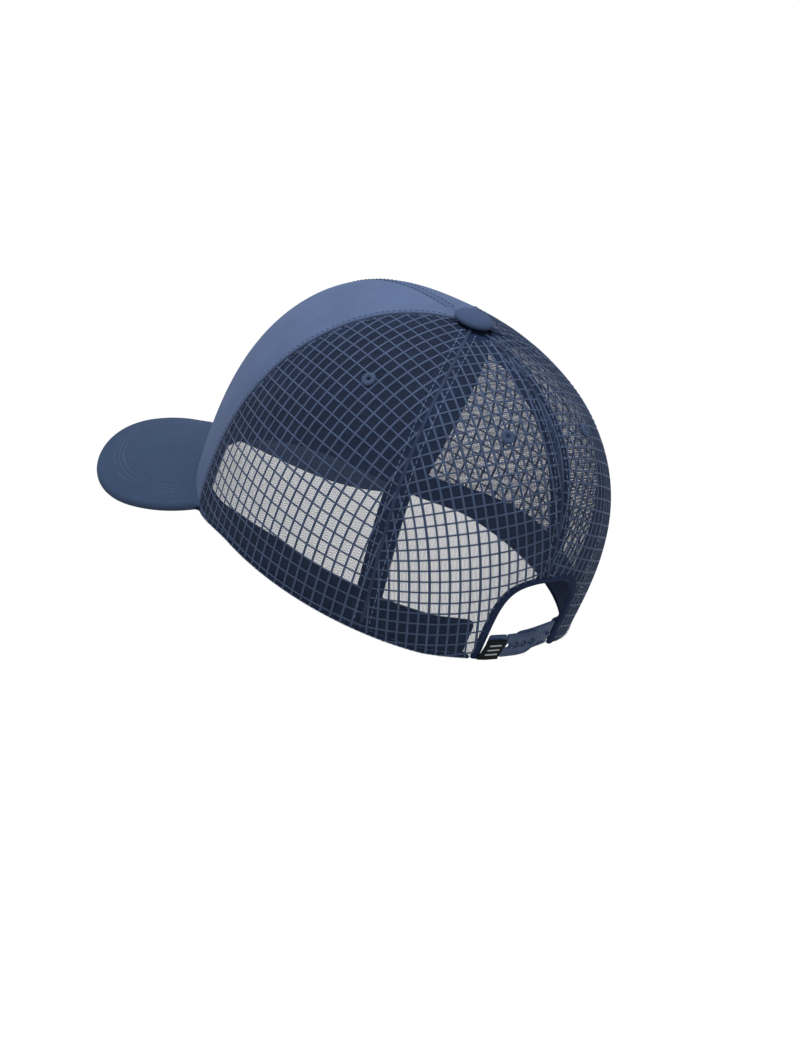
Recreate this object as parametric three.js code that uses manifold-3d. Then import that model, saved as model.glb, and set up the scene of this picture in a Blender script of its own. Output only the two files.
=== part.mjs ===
// A six-panel trucker cap: two solid front panels, four see-through mesh panels, a curved visor,
// a fabric-covered button, a sweatband, seam tapes, four eyelets and a two-part snap strap.
// Units are millimetres. The crown is designed upright, with the visor towards -Y and the wearer's
// left towards +X, and then the whole cap is tipped back so that it rests on a flat surface on
// the two wings of its visor and on the hem at the back.
import * as THREE from 'three';
import Module from 'manifold-3d';

const wasm = await Module();
wasm.setup();

// ---- driving dimensions ------------------------------------------------------------------

// Plan of the head opening, as harmonics of the angle round the crown.
// Angle 0 is the centre front, 90 the wearer's left side and 180 the centre back.
const PLAN_X = [75.4, 3.1, -9.9];
const PLAN_Y = [7.3, -114.4, -6.7, 9.7];

// Crown height, apex position, roundness and fullness of the meridians.
const CROWN_HEIGHT = 128;
const APEX_Y = 11.3;
const ROUNDNESS = [2.39, 0.06, 0.18];
const FULLNESS = [0.08, -0.05, -0.03];

// Seams between the panels, in degrees, and how far each one bows on its way up.
const FRONT_SEAM = 62;
const FRONT_SEAM_BOW = 4.2;
const SIDE_SEAM = 115;
const SIDE_SEAM_BOW = -2.9;
const CENTRE_BACK = 180;

// Curved visor: height at the centre front, droop of the wings, pitch and outline. In front of
// the rim it falls away a little more steeply, by VISOR_DIP for each millimetre.
const VISOR_FRONT_Z = 0.8;
const VISOR_DROOP = 29.4;
const VISOR_DROOP_AT = 75;
const VISOR_DROOP_POWER = 2.2;
const VISOR_PITCH = THREE.MathUtils.degToRad(21);
const VISOR_CENTRE_Y = -83.1;
const VISOR_HALF_WIDTH = 75.2;
const VISOR_REACH = 80.4;
const VISOR_OUTLINE_POWER = 2.22;
const VISOR_WRAP = 110;
const VISOR_LIFT = 0.8;
const VISOR_ROOT_GAP = 1.8;
const VISOR_DIP = 0.0552;
const BOARD_LAYER = [-0.8, 0.8];
const TOP_COVER_LAYER = [1.1, 2.0];
const UNDER_COVER_LAYER = [-2.0, -1.1];
const BOARD_INSET = 0.015;

// The rim is level from SIDE_RIM_START to BACK_RISE_START and lifts towards the strap.
const SIDE_RIM_START = 80;
const BACK_RISE_START = 132;
const BACK_RISE = 4.9;

// How the cap rests: tipped back by REST_TILT, on a plane that cuts the hem at REST_Y.
const REST_TILT = THREE.MathUtils.degToRad(9.17);
const REST_Y = 92;
const FRAME_SHIFT_Y = 26.1;

// Layers of the crown, as distances from the outer surface.
const PANEL_LAYER = [-1.2, 0];
const TAPE_LAYER = [-2.9, -1.9];
const BACKING_LAYER = [-2.7, -1.9];
const SWEATBAND_LAYER = [-4.6, -3.4];
const HEM_LAYER = [-4.8, 0.3];
const BINDING_LAYER = [-2.0, 0.5];
const SEAM_GAP = 0.25;
const HEM_HEIGHT = 1.6;
const HEM_END_GAP = 0.6;
const PANEL_START = 1.9;
const APEX_RADIUS = 4;
const TAPE_HALF_WIDTH = 6.5;
const TAPE_END_RADIUS = 19;
const BACKING_INSET = 7.2;
const BACKING_END_RADIUS = 20;
const SWEATBAND_HEIGHT = 20;
const SWEATBAND_END = 146;

// Arched opening at the back and its binding.
const ARCH_HALF_ANGLE = 27.3;
const ARCH_HEIGHT = 38.5;
const ARCH_POWER = 5.5;
const BINDING_ANGLE = 3.8;
const BINDING_WIDTH = 3;
const BINDING_START = 0.5;
const ARCH_CUT_ANGLE = 4.2;
const ARCH_CUT_WIDTH = 3.6;

// Snap strap. It runs level round the back, so its lower edge has one height.
const STRAP_BOTTOM = 3.4;
const STRAP_WIDTH = 12.6;
const OUTER_STRAP_LAYER = [-0.2, 1.0];
const INNER_STRAP_LAYER = [-1.7, -0.5];
const OUTER_STRAP_SPAN = [165.2, 194.6];
const INNER_STRAP_SPAN = [205.2, 172];
const SNAP_PITCH = 5.1;
const SNAP_HOLE_RADIUS = 1.5;
const PEG_RADIUS = 1.0;
const PEG_TOP = 0.8;
const PEG_ROOT_DEPTH = 0.8;
const HOLE_COUNT = 4;
const PEG_COUNT = 5;
const PEGS_IN_HOLES = 3;
const FIRST_SNAP = 4.1;

// Plates on the wall: angles round the crown, heights and layer.
const OUTER_ANCHOR = {
  angles: [153.4, 164.6], heights: [STRAP_BOTTOM, STRAP_BOTTOM + STRAP_WIDTH], layer: OUTER_STRAP_LAYER,
};
const INNER_ANCHOR = { angles: [206.8, 213], heights: [5.6, 15.2], layer: [-3.5, -2.4] };
const LABEL_TAB = { angles: [151, 164.7], heights: [3.1, 14.2], layer: [1.35, 2.05] };

// Small parts.
const EYELET_PLACES = { side_left: 91.5, side_right: -91.5, back_left: 142, back_right: -142 };
const EYELET_HEIGHT = 0.58;
const EYELET_OFFSET = 0.35;
const BUTTON_CLEARANCE = 0.3;

// Turned outlines of the small parts, as radius and height.
const BUTTON_OUTLINE = [
  [0, 0], [7.8, 0], [8.8, 0.8], [9.0, 1.9], [8.2, 3.4], [6.2, 4.6], [3.2, 5.3], [0, 5.5],
];
const RIVET_OUTLINE = [[0, -4.6], [6.5, -4.6], [6.5, -3.8], [1.6, -3.8], [1.6, -0.1], [0, -0.1]];
const EYELET_OUTLINE = [[1.2, 0], [3.1, 0], [3.5, 0.5], [2.9, 1.1], [1.6, 1.1], [1.2, 0.6], [1.2, 0]];

// How finely the curved pieces are divided.
const MERIDIAN_STEPS = 240;
const BISECTIONS = 40;
const ROUTE_STEPS = 24;
const STRAP_STEPS = 10;
const TIP_STEPS = 10;
const HOLE_SEGMENTS = 5;
const PEG_SEGMENTS = 12;
const BUTTON_SEGMENTS = 20;
const RIVET_SEGMENTS = 16;
const EYELET_SEGMENTS = 14;
const BACK_PANEL_STEPS = 5;
const ARCH_LEG_STEPS = 8;

// ---- finishes ----------------------------------------------------------------------------

const FRONT_CLOTH = { color: 0x5f7499, roughness: 0.75 };
const VISOR_CLOTH = { color: 0x42577b, roughness: 0.75 };
const MESH_CLOTH = { color: 0x4c5f80, roughness: 0.7 };
const NAVY_CLOTH = { color: 0x1e2b46, roughness: 0.8 };
const STRAP_PLASTIC = { color: 0x33476a, roughness: 0.45 };
const LABEL_CLOTH = { color: 0x15171b, roughness: 0.7 };
const BOARD_PLASTIC = { color: 0xd8d6d0, roughness: 0.6 };
const RIVET_METAL = { color: 0x8a8f98, roughness: 0.4, metalness: 0.8 };

// ---- crown surface -----------------------------------------------------------------------

const harmonics = ([a, b, c], angle) => a + b * Math.cos(angle) + c * Math.cos(2 * angle);

function rimPlan(angle) {
  const x = PLAN_X[0] * Math.sin(angle) + PLAN_X[1] * Math.sin(2 * angle) + PLAN_X[2] * Math.sin(3 * angle);
  const y = PLAN_Y[0] + PLAN_Y[1] * Math.cos(angle) + PLAN_Y[2] * Math.cos(2 * angle)
    + PLAN_Y[3] * Math.cos(3 * angle);
  return [x, y];
}

const FRONT_Y = rimPlan(0)[1];

function visorHeight(x, y) {
  const droop = VISOR_DROOP * Math.pow(Math.abs(x) / VISOR_DROOP_AT, VISOR_DROOP_POWER);
  return VISOR_FRONT_Z - droop + Math.tan(VISOR_PITCH) * (y - FRONT_Y);
}

const restPlane = (y) => Math.tan(REST_TILT) * (y - REST_Y);

const smoothStep = (value) => {
  const clamped = THREE.MathUtils.clamp(value, 0, 1);
  return clamped * clamped * (3 - 2 * clamped);
};

// Designed height of the rim, before the hem flattens where it rests.
function designedRim(angle) {
  const turned = THREE.MathUtils.euclideanModulo(THREE.MathUtils.radToDeg(angle) + 180, 360);
  const degrees = Math.abs(turned - 180);
  const [x, y] = rimPlan(THREE.MathUtils.degToRad(Math.min(degrees, FRONT_SEAM)));
  const fade = THREE.MathUtils.clamp((degrees - FRONT_SEAM) / (SIDE_RIM_START - FRONT_SEAM), 0, 1);
  const front = visorHeight(x, y) * (1 + Math.cos(Math.PI * fade)) / 2;
  return front + BACK_RISE * smoothStep((degrees - BACK_RISE_START) / (180 - BACK_RISE_START));
}

const rimHeight = (angle) => Math.max(designedRim(angle), restPlane(rimPlan(angle)[1]));

// A point of the outer surface. rise runs from 0 at the rim to 1 at the apex.
function surfacePoint(angle, rise) {
  const phi = rise * Math.PI / 2;
  const power = 2 / harmonics(ROUNDNESS, angle);
  const full = 1 + harmonics(FULLNESS, angle) * Math.sin(2 * phi);
  const reach = Math.pow(Math.max(Math.cos(phi), 0), power) * full;
  const [x, y] = rimPlan(angle);
  const base = rimHeight(angle);
  const z = base + (CROWN_HEIGHT - base) * Math.pow(Math.sin(phi), power);
  return new THREE.Vector3(x * reach, APEX_Y + (y - APEX_Y) * reach, z);
}

function surfaceNormal(angle, rise) {
  const step = 1e-3;
  const low = Math.max(rise - step, 0);
  const high = Math.min(rise + step, 0.9995);
  const along = surfacePoint(angle + step, rise).sub(surfacePoint(angle - step, rise));
  const up = surfacePoint(angle, high).sub(surfacePoint(angle, low));
  return along.cross(up).normalize();
}

const crownPoint = (angle, rise, offset) =>
  surfacePoint(angle, rise).addScaledVector(surfaceNormal(angle, rise), offset);

// The rise at which a meridian has climbed the given length from the rim.
function riseAtLength(angle, length) {
  let travelled = 0;
  let last = surfacePoint(angle, 0);
  for (let step = 1; step <= MERIDIAN_STEPS; step += 1) {
    const next = surfacePoint(angle, (step / MERIDIAN_STEPS) ** 2);
    const piece = next.distanceTo(last);
    if (travelled + piece >= length) {
      const part = (length - travelled) / piece;
      return THREE.MathUtils.lerp(((step - 1) / MERIDIAN_STEPS) ** 2, (step / MERIDIAN_STEPS) ** 2, part);
    }
    travelled += piece;
    last = next;
  }
  return 1;
}

const radiusAt = (angle, rise) => {
  const point = surfacePoint(angle, rise);
  return Math.hypot(point.x, point.y - APEX_Y);
};

// Millimetres round the crown for each radian of angle, at a height.
function widthRate(angle, rise) {
  const step = 1e-3;
  return surfacePoint(angle + step, rise).distanceTo(surfacePoint(angle - step, rise)) / (2 * step);
}

// The rise at which a meridian has closed in to the given distance from the crown's axis.
function riseAtRadius(angle, radius) {
  let low = 0.5;
  let high = 1;
  for (let turn = 0; turn < BISECTIONS; turn += 1) {
    const middle = (low + high) / 2;
    if (radiusAt(angle, middle) > radius) low = middle;
    else high = middle;
  }
  return (low + high) / 2;
}

// A point on the wall at a height above the rim. Below the rim the wall runs straight down.
function wallPoint(degrees, height, offset) {
  const angle = THREE.MathUtils.degToRad(degrees);
  const point = crownPoint(angle, riseAtLength(angle, Math.max(height, 0)), offset);
  point.z += Math.min(height, 0);
  return point;
}

// A point on the wall at a height of its own, whatever the rim does there.
const levelPoint = (degrees, z, offset) =>
  wallPoint(degrees, z - rimHeight(THREE.MathUtils.degToRad(degrees)), offset);

// ---- solid builders ----------------------------------------------------------------------

// A closed solid from two facing sheets of points: at(i, j, side) with side 0 or 1.
function sheetSolid(columns, rows, at) {
  const positions = [];
  const index = (i, j, side) => (i * (rows + 1) + j) * 2 + side;
  for (let i = 0; i <= columns; i += 1) {
    for (let j = 0; j <= rows; j += 1) {
      positions.push(...at(i, j, 0).toArray(), ...at(i, j, 1).toArray());
    }
  }
  const faces = [];
  const quad = (a, b, c, d) => faces.push(a, b, c, a, c, d);
  for (let i = 0; i < columns; i += 1) {
    for (let j = 0; j < rows; j += 1) {
      quad(index(i, j, 1), index(i + 1, j, 1), index(i + 1, j + 1, 1), index(i, j + 1, 1));
      quad(index(i, j, 0), index(i, j + 1, 0), index(i + 1, j + 1, 0), index(i + 1, j, 0));
    }
    quad(index(i, 0, 0), index(i + 1, 0, 0), index(i + 1, 0, 1), index(i, 0, 1));
    quad(index(i, rows, 1), index(i + 1, rows, 1), index(i + 1, rows, 0), index(i, rows, 0));
  }
  for (let j = 0; j < rows; j += 1) {
    quad(index(0, j, 1), index(0, j + 1, 1), index(0, j + 1, 0), index(0, j, 0));
    quad(index(columns, j, 0), index(columns, j + 1, 0), index(columns, j + 1, 1), index(columns, j, 1));
  }
  return facingOut(positions, faces);
}

// Turns every face over when the faces point into the solid.
function facingOut(positions, faces) {
  const corner = (face) => new THREE.Vector3().fromArray(positions, 3 * face);
  let volume = 0;
  for (let face = 0; face < faces.length; face += 3) {
    volume += corner(faces[face]).dot(corner(faces[face + 1]).cross(corner(faces[face + 2])));
  }
  if (volume < 0) faces.reverse();
  const geometry = new THREE.BufferGeometry();
  geometry.setAttribute('position', new THREE.Float32BufferAttribute(positions, 3));
  geometry.setIndex(faces);
  geometry.computeVertexNormals();
  return geometry;
}

const cap = new THREE.Group();
cap.rotation.x = -REST_TILT;

function addPart(name, geometry, finish) {
  const mesh = new THREE.Mesh(geometry, new THREE.MeshStandardMaterial(finish));
  mesh.name = name;
  cap.add(mesh);
  return mesh;
}

// ---- panels ------------------------------------------------------------------------------

const seamBow = (degrees, rise) => {
  const bows = { [FRONT_SEAM]: FRONT_SEAM_BOW, [SIDE_SEAM]: SIDE_SEAM_BOW };
  const bow = (bows[Math.abs(degrees)] ?? 0) * Math.sign(degrees);
  return bow * Math.sin(Math.PI * rise);
};

// Height of the arched opening's edge at an angle from the centre back, 0 outside it.
function archHeight(fromBack, halfAngle, height) {
  const across = Math.min(Math.abs(fromBack) / halfAngle, 1);
  return height * Math.pow(1 - Math.pow(across, ARCH_POWER), 1 / ARCH_POWER);
}

// A piece of shell between two seams, bounded below by startLength(degrees).
function shell({ from, to, stops, layer, inset, rows, startLength, endRadius }) {
  const at = (i, j, side) => {
    const share = stops[i];
    const degrees = THREE.MathUtils.lerp(from, to, share);
    const flat = THREE.MathUtils.degToRad(degrees);
    const low = riseAtLength(flat, startLength(degrees));
    const high = riseAtRadius(flat, endRadius);
    const rise = THREE.MathUtils.lerp(low, high, j / rows);
    const bow = THREE.MathUtils.lerp(seamBow(from, rise), seamBow(to, rise), share);
    const insetAngle = inset / widthRate(flat, rise) * (1 - 2 * share) * Math.sign(to - from);
    const angle = THREE.MathUtils.degToRad(degrees + bow) + insetAngle;
    return crownPoint(angle, rise, layer[side]);
  };
  return sheetSolid(stops.length - 1, rows, at);
}

const evenStops = (count) => Array.from({ length: count + 1 }, (_, i) => i / count);

// Column positions of a back panel, packed where the arched opening's leg is steep.
function backStops() {
  const cut = ARCH_HALF_ANGLE + ARCH_CUT_ANGLE;
  const span = CENTRE_BACK - SIDE_SEAM;
  const solid = evenStops(BACK_PANEL_STEPS).map((share) => share * (1 - cut / span));
  const leg = [];
  for (let step = 1; step <= ARCH_LEG_STEPS; step += 1) {
    const turn = (Math.PI / 2) * (1 - step / ARCH_LEG_STEPS);
    leg.push(1 - (cut / span) * Math.pow(Math.max(Math.sin(turn), 0), 2 / ARCH_POWER));
  }
  return solid.concat(leg);
}

function panelStart(degrees) {
  const cut = ARCH_HALF_ANGLE + ARCH_CUT_ANGLE;
  const fromBack = CENTRE_BACK - Math.abs(degrees);
  if (fromBack >= cut) return PANEL_START;
  return Math.max(PANEL_START, archHeight(fromBack, cut, ARCH_HEIGHT + ARCH_CUT_WIDTH));
}

function makePanels() {
  const shared = {
    layer: PANEL_LAYER, inset: SEAM_GAP, rows: 12, startLength: panelStart, endRadius: APEX_RADIUS,
  };
  for (const [side, sign] of [['left', 1], ['right', -1]]) {
    const front = shell({ ...shared, from: 0, to: sign * FRONT_SEAM, stops: evenStops(10) });
    addPart(`front_panel_${side}`, front, FRONT_CLOTH);
    const flank = shell({ ...shared, from: sign * FRONT_SEAM, to: sign * SIDE_SEAM, stops: evenStops(9) });
    addPart(`side_mesh_${side}`, flank, MESH_CLOTH);
    const back = shell({ ...shared, from: sign * SIDE_SEAM, to: sign * CENTRE_BACK, stops: backStops() });
    addPart(`back_mesh_${side}`, back, MESH_CLOTH);
    const backing = shell({
      ...shared, from: 0, to: sign * FRONT_SEAM, stops: evenStops(8), rows: 9, layer: BACKING_LAYER,
      inset: BACKING_INSET, endRadius: BACKING_END_RADIUS,
    });
    addPart(`front_backing_${side}`, backing, NAVY_CLOTH);
  }
}

// ---- seam tapes, sweatband, hem and binding ----------------------------------------------

function tape(degrees, startLength) {
  const rows = 16;
  const flat = THREE.MathUtils.degToRad(degrees);
  const low = riseAtLength(flat, startLength);
  const high = riseAtRadius(flat, TAPE_END_RADIUS);
  return sheetSolid(2, rows, (i, j, side) => {
    const rise = THREE.MathUtils.lerp(low, high, j / rows);
    const centre = THREE.MathUtils.degToRad(degrees + seamBow(degrees, rise));
    const angle = centre + (i - 1) * TAPE_HALF_WIDTH / widthRate(centre, rise);
    return crownPoint(angle, rise, TAPE_LAYER[side]);
  });
}

function makeTapes() {
  const places = {
    tape_centre_front: 0,
    tape_front_left: FRONT_SEAM,
    tape_front_right: -FRONT_SEAM,
    tape_side_left: SIDE_SEAM,
    tape_side_right: -SIDE_SEAM,
  };
  for (const [name, degrees] of Object.entries(places)) {
    addPart(name, tape(degrees, PANEL_START), NAVY_CLOTH);
  }
  const aboveArch = ARCH_HEIGHT + ARCH_CUT_WIDTH;
  addPart('tape_centre_back', tape(CENTRE_BACK, aboveArch), NAVY_CLOTH);
}

function makeSweatband() {
  const columns = 48;
  const rows = 2;
  const geometry = sheetSolid(columns, rows, (i, j, side) => {
    const degrees = THREE.MathUtils.lerp(-SWEATBAND_END, SWEATBAND_END, i / columns);
    const height = THREE.MathUtils.lerp(PANEL_START, SWEATBAND_HEIGHT, j / rows);
    return wallPoint(degrees, height, SWEATBAND_LAYER[side]);
  });
  addPart('sweatband', geometry, NAVY_CLOTH);
}

// The hem's underside is flat, and lies exactly in the resting plane, where the cap rests on it.
function makeHem() {
  const columns = 56;
  const end = CENTRE_BACK - ARCH_HALF_ANGLE - ARCH_CUT_ANGLE - HEM_END_GAP;
  const geometry = sheetSolid(columns, 1, (i, j, side) => {
    const degrees = THREE.MathUtils.lerp(-end, end, i / columns);
    const designed = designedRim(THREE.MathUtils.degToRad(degrees));
    const rests = restPlane(wallPoint(degrees, 0, HEM_LAYER[1]).y) >= designed;
    const point = wallPoint(degrees, 0, HEM_LAYER[j]);
    point.z = (rests ? restPlane(point.y) : designed) + side * HEM_HEIGHT;
    return point;
  });
  addPart('hem_band', geometry, NAVY_CLOTH);
}

function makeArchBinding() {
  const columns = 28;
  const edges = [
    [ARCH_HALF_ANGLE, ARCH_HEIGHT],
    [ARCH_HALF_ANGLE + BINDING_ANGLE, ARCH_HEIGHT + BINDING_WIDTH],
  ];
  const geometry = sheetSolid(columns, 1, (i, j, side) => {
    const turn = THREE.MathUtils.lerp(-Math.PI / 2, Math.PI / 2, i / columns);
    const [halfAngle, height] = edges[j];
    const across = Math.sign(turn) * Math.pow(Math.abs(Math.sin(turn)), 2 / ARCH_POWER);
    const up = Math.pow(Math.max(Math.cos(turn), 0), 2 / ARCH_POWER);
    const climb = Math.max(height * up, BINDING_START);
    return wallPoint(CENTRE_BACK + halfAngle * across, climb, BINDING_LAYER[side]);
  });
  addPart('arch_binding', geometry, NAVY_CLOTH);
}

// ---- visor -------------------------------------------------------------------------------

// How far forward the rim of the crown reaches at a distance from the middle.
function rimFront(x) {
  let low = 0;
  let high = THREE.MathUtils.degToRad(SIDE_RIM_START);
  for (let turn = 0; turn < BISECTIONS; turn += 1) {
    const middle = (low + high) / 2;
    if (rimPlan(middle)[0] < Math.abs(x)) low = middle;
    else high = middle;
  }
  return rimPlan(low)[1];
}

function visorTop(x, y) {
  const forward = Math.max(rimFront(x) - y, 0);
  return visorHeight(x, y) + VISOR_LIFT - VISOR_DIP * forward;
}

// The visor's outline is a squared ellipse that wraps round to the ends of the rim's front.
function visorEdge(across) {
  const turn = THREE.MathUtils.degToRad(90 - across * VISOR_WRAP);
  const squared = (value) => Math.sign(value) * Math.pow(Math.abs(value), 2 / VISOR_OUTLINE_POWER);
  const x = VISOR_HALF_WIDTH * squared(Math.cos(turn));
  return [x, VISOR_CENTRE_Y - VISOR_REACH * squared(Math.sin(turn))];
}

function visorPoint(across, out, offset) {
  const root = wallPoint(across * FRONT_SEAM, 0, VISOR_ROOT_GAP);
  const [edgeX, edgeY] = visorEdge(across);
  const x = THREE.MathUtils.lerp(root.x, edgeX, out);
  const y = THREE.MathUtils.lerp(root.y, edgeY, out);
  const step = 0.5;
  const slopeX = (visorTop(x + step, y) - visorTop(x - step, y)) / (2 * step);
  const slopeY = (visorTop(x, y + step) - visorTop(x, y - step)) / (2 * step);
  const normal = new THREE.Vector3(-slopeX, -slopeY, 1).normalize();
  return new THREE.Vector3(x, y, visorTop(x, y)).addScaledVector(normal, offset);
}

function visorLayer(layer, inset) {
  const columns = 36;
  const rows = 5;
  return sheetSolid(columns, rows, (i, j, side) => {
    const across = THREE.MathUtils.lerp(-1 + inset, 1 - inset, i / columns);
    const out = THREE.MathUtils.lerp(inset, 1 - inset, j / rows);
    return visorPoint(across, out, layer[side]);
  });
}

function makeVisor() {
  addPart('visor_board', visorLayer(BOARD_LAYER, BOARD_INSET), BOARD_PLASTIC);
  addPart('visor_top_cover', visorLayer(TOP_COVER_LAYER, 0), VISOR_CLOTH);
  addPart('visor_under_cover', visorLayer(UNDER_COVER_LAYER, 0), VISOR_CLOTH);
}

// ---- button and eyelets ------------------------------------------------------------------

const lathe = (profile, segments) =>
  new THREE.LatheGeometry(profile.map(([r, h]) => new THREE.Vector2(r, h)), segments);

function makeButton() {
  const button = addPart('top_button', lathe(BUTTON_OUTLINE, BUTTON_SEGMENTS), VISOR_CLOTH);
  button.rotation.x = Math.PI / 2;
  button.position.set(0, APEX_Y, CROWN_HEIGHT + BUTTON_CLEARANCE);
  const rivet = addPart('button_rivet', lathe(RIVET_OUTLINE, RIVET_SEGMENTS), RIVET_METAL);
  rivet.rotation.x = Math.PI / 2;
  rivet.position.set(0, APEX_Y, CROWN_HEIGHT);
}

function makeEyelets() {
  for (const [place, degrees] of Object.entries(EYELET_PLACES)) {
    const angle = THREE.MathUtils.degToRad(degrees);
    const eyelet = addPart(`eyelet_${place}`, lathe(EYELET_OUTLINE, EYELET_SEGMENTS), VISOR_CLOTH);
    eyelet.position.copy(crownPoint(angle, EYELET_HEIGHT, EYELET_OFFSET));
    const normal = surfaceNormal(angle, EYELET_HEIGHT);
    eyelet.quaternion.setFromUnitVectors(new THREE.Vector3(0, 1, 0), normal);
  }
}

// ---- snap strap --------------------------------------------------------------------------

// The strap's route as a curve, so that lengths along it are true.
function strapRoute(span, offset) {
  const middle = STRAP_BOTTOM + STRAP_WIDTH / 2;
  const points = [];
  for (let step = 0; step <= ROUTE_STEPS; step += 1) {
    points.push(levelPoint(THREE.MathUtils.lerp(span[0], span[1], step / ROUTE_STEPS), middle, offset));
  }
  return new THREE.CatmullRomCurve3(points);
}

// Flat outline of a strap: square at its root, round at its tip, with optional snap holes.
function strapShape(length, holes) {
  const half = STRAP_WIDTH / 2;
  const shape = new THREE.Shape();
  const stride = (length - half) / STRAP_STEPS;
  shape.moveTo(0, -half);
  for (let step = 1; step <= STRAP_STEPS; step += 1) shape.lineTo(stride * step, -half);
  for (let step = 1; step < TIP_STEPS; step += 1) {
    const turn = -Math.PI / 2 + Math.PI * step / TIP_STEPS;
    shape.lineTo(length - half + half * Math.cos(turn), half * Math.sin(turn));
  }
  for (let step = STRAP_STEPS; step >= 0; step -= 1) shape.lineTo(stride * step, half);
  for (const place of holes) {
    const hole = new THREE.Path();
    hole.absarc(place, 0, SNAP_HOLE_RADIUS, 0, Math.PI * 2, true);
    shape.holes.push(hole);
  }
  return shape;
}

// Bends a flat piece, drawn as length, width and thickness, along the strap's route.
function bendAlong(geometry, span, length) {
  const bent = geometry.clone();
  const place = bent.attributes.position;
  for (let i = 0; i < place.count; i += 1) {
    const degrees = THREE.MathUtils.lerp(span[0], span[1], place.getX(i) / length);
    const height = STRAP_BOTTOM + STRAP_WIDTH / 2 + place.getY(i);
    place.setXYZ(i, ...levelPoint(degrees, height, place.getZ(i)).toArray());
  }
  return bent;
}

// Shared-vertex solid of a geometry, ready for joining.
function toManifold(geometry) {
  const flat = geometry.index ? geometry.toNonIndexed() : geometry;
  const place = flat.attributes.position;
  const corners = new Map();
  const positions = [];
  const faces = [];
  for (let i = 0; i < place.count; i += 1) {
    const point = [place.getX(i), place.getY(i), place.getZ(i)];
    const key = point.map((value) => value.toFixed(4)).join(' ');
    if (!corners.has(key)) {
      corners.set(key, corners.size);
      positions.push(...point);
    }
    faces.push(corners.get(key));
  }
  const { array } = facingOut(positions, faces).index;
  const mesh = new wasm.Mesh({
    numProp: 3, vertProperties: new Float32Array(positions), triVerts: new Uint32Array(array),
  });
  return new wasm.Manifold(mesh);
}

function fromManifold(solid) {
  const { vertProperties, triVerts } = solid.getMesh();
  const geometry = new THREE.BufferGeometry();
  geometry.setAttribute('position', new THREE.BufferAttribute(vertProperties, 3));
  geometry.setIndex(new THREE.BufferAttribute(triVerts, 1));
  geometry.computeVertexNormals();
  return geometry;
}

const extruded = (shape, [low, high]) => {
  const settings = { depth: high - low, bevelEnabled: false, curveSegments: HOLE_SEGMENTS };
  return new THREE.ExtrudeGeometry(shape, settings).translate(0, 0, low);
};

function makeOuterStrap() {
  const length = strapRoute(OUTER_STRAP_SPAN, OUTER_STRAP_LAYER[1]).getLength();
  const holes = [];
  for (let hole = 0; hole < HOLE_COUNT; hole += 1) holes.push(length - FIRST_SNAP - hole * SNAP_PITCH);
  const flat = extruded(strapShape(length, holes), OUTER_STRAP_LAYER);
  addPart('strap_left', bendAlong(flat, OUTER_STRAP_SPAN, length), STRAP_PLASTIC);
}

// Pegs stand where the outer strap's holes are and go on at the same pitch towards the root.
function makeInnerStrap() {
  const length = strapRoute(INNER_STRAP_SPAN, INNER_STRAP_LAYER[1]).getLength();
  const outerLength = strapRoute(OUTER_STRAP_SPAN, OUTER_STRAP_LAYER[1]).getLength();
  const flat = extruded(strapShape(length, []), INNER_STRAP_LAYER);
  let strap = toManifold(bendAlong(flat, INNER_STRAP_SPAN, length));
  for (let peg = 0; peg < PEG_COUNT; peg += 1) {
    const fromOuterRoot = outerLength - FIRST_SNAP + (peg - PEGS_IN_HOLES + 1) * SNAP_PITCH;
    const degrees = THREE.MathUtils.lerp(...OUTER_STRAP_SPAN, fromOuterRoot / outerLength);
    const root = INNER_STRAP_LAYER[1] - PEG_ROOT_DEPTH;
    const post = new THREE.CylinderGeometry(PEG_RADIUS, PEG_RADIUS, PEG_TOP - root, PEG_SEGMENTS);
    const height = STRAP_BOTTOM + STRAP_WIDTH / 2;
    const centre = levelPoint(degrees, height, (PEG_TOP + root) / 2);
    const outward = levelPoint(degrees, height, PEG_TOP).sub(centre).normalize();
    post.applyQuaternion(new THREE.Quaternion().setFromUnitVectors(new THREE.Vector3(0, 1, 0), outward));
    post.translate(centre.x, centre.y, centre.z);
    strap = strap.add(toManifold(post));
  }
  addPart('strap_right', fromManifold(strap), STRAP_PLASTIC);
}

function plate({ angles, heights, layer }) {
  const columns = 5;
  return sheetSolid(columns, 2, (i, j, side) => {
    const degrees = THREE.MathUtils.lerp(angles[0], angles[1], i / columns);
    return levelPoint(degrees, THREE.MathUtils.lerp(heights[0], heights[1], j / 2), layer[side]);
  });
}

function makeStrapFittings() {
  addPart('strap_anchor_left', plate(OUTER_ANCHOR), STRAP_PLASTIC);
  addPart('strap_anchor_right', plate(INNER_ANCHOR), STRAP_PLASTIC);
  addPart('label_tab', plate(LABEL_TAB), LABEL_CLOTH);
}

makePanels();
makeTapes();
makeSweatband();
makeHem();
makeArchBinding();
makeVisor();
makeButton();
makeEyelets();
makeOuterStrap();
makeInnerStrap();
makeStrapFittings();

// Stand the tipped cap on the ground, with the frame's origin under the middle of its box.
cap.position.set(0, FRAME_SHIFT_Y, REST_Y * Math.sin(REST_TILT));

const model = new THREE.Group();
model.add(cap);

export default model;
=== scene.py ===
import math
from collections import namedtuple
from math import pi

import bmesh
import bpy
import numpy as np
from mathutils import Matrix, Vector


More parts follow.
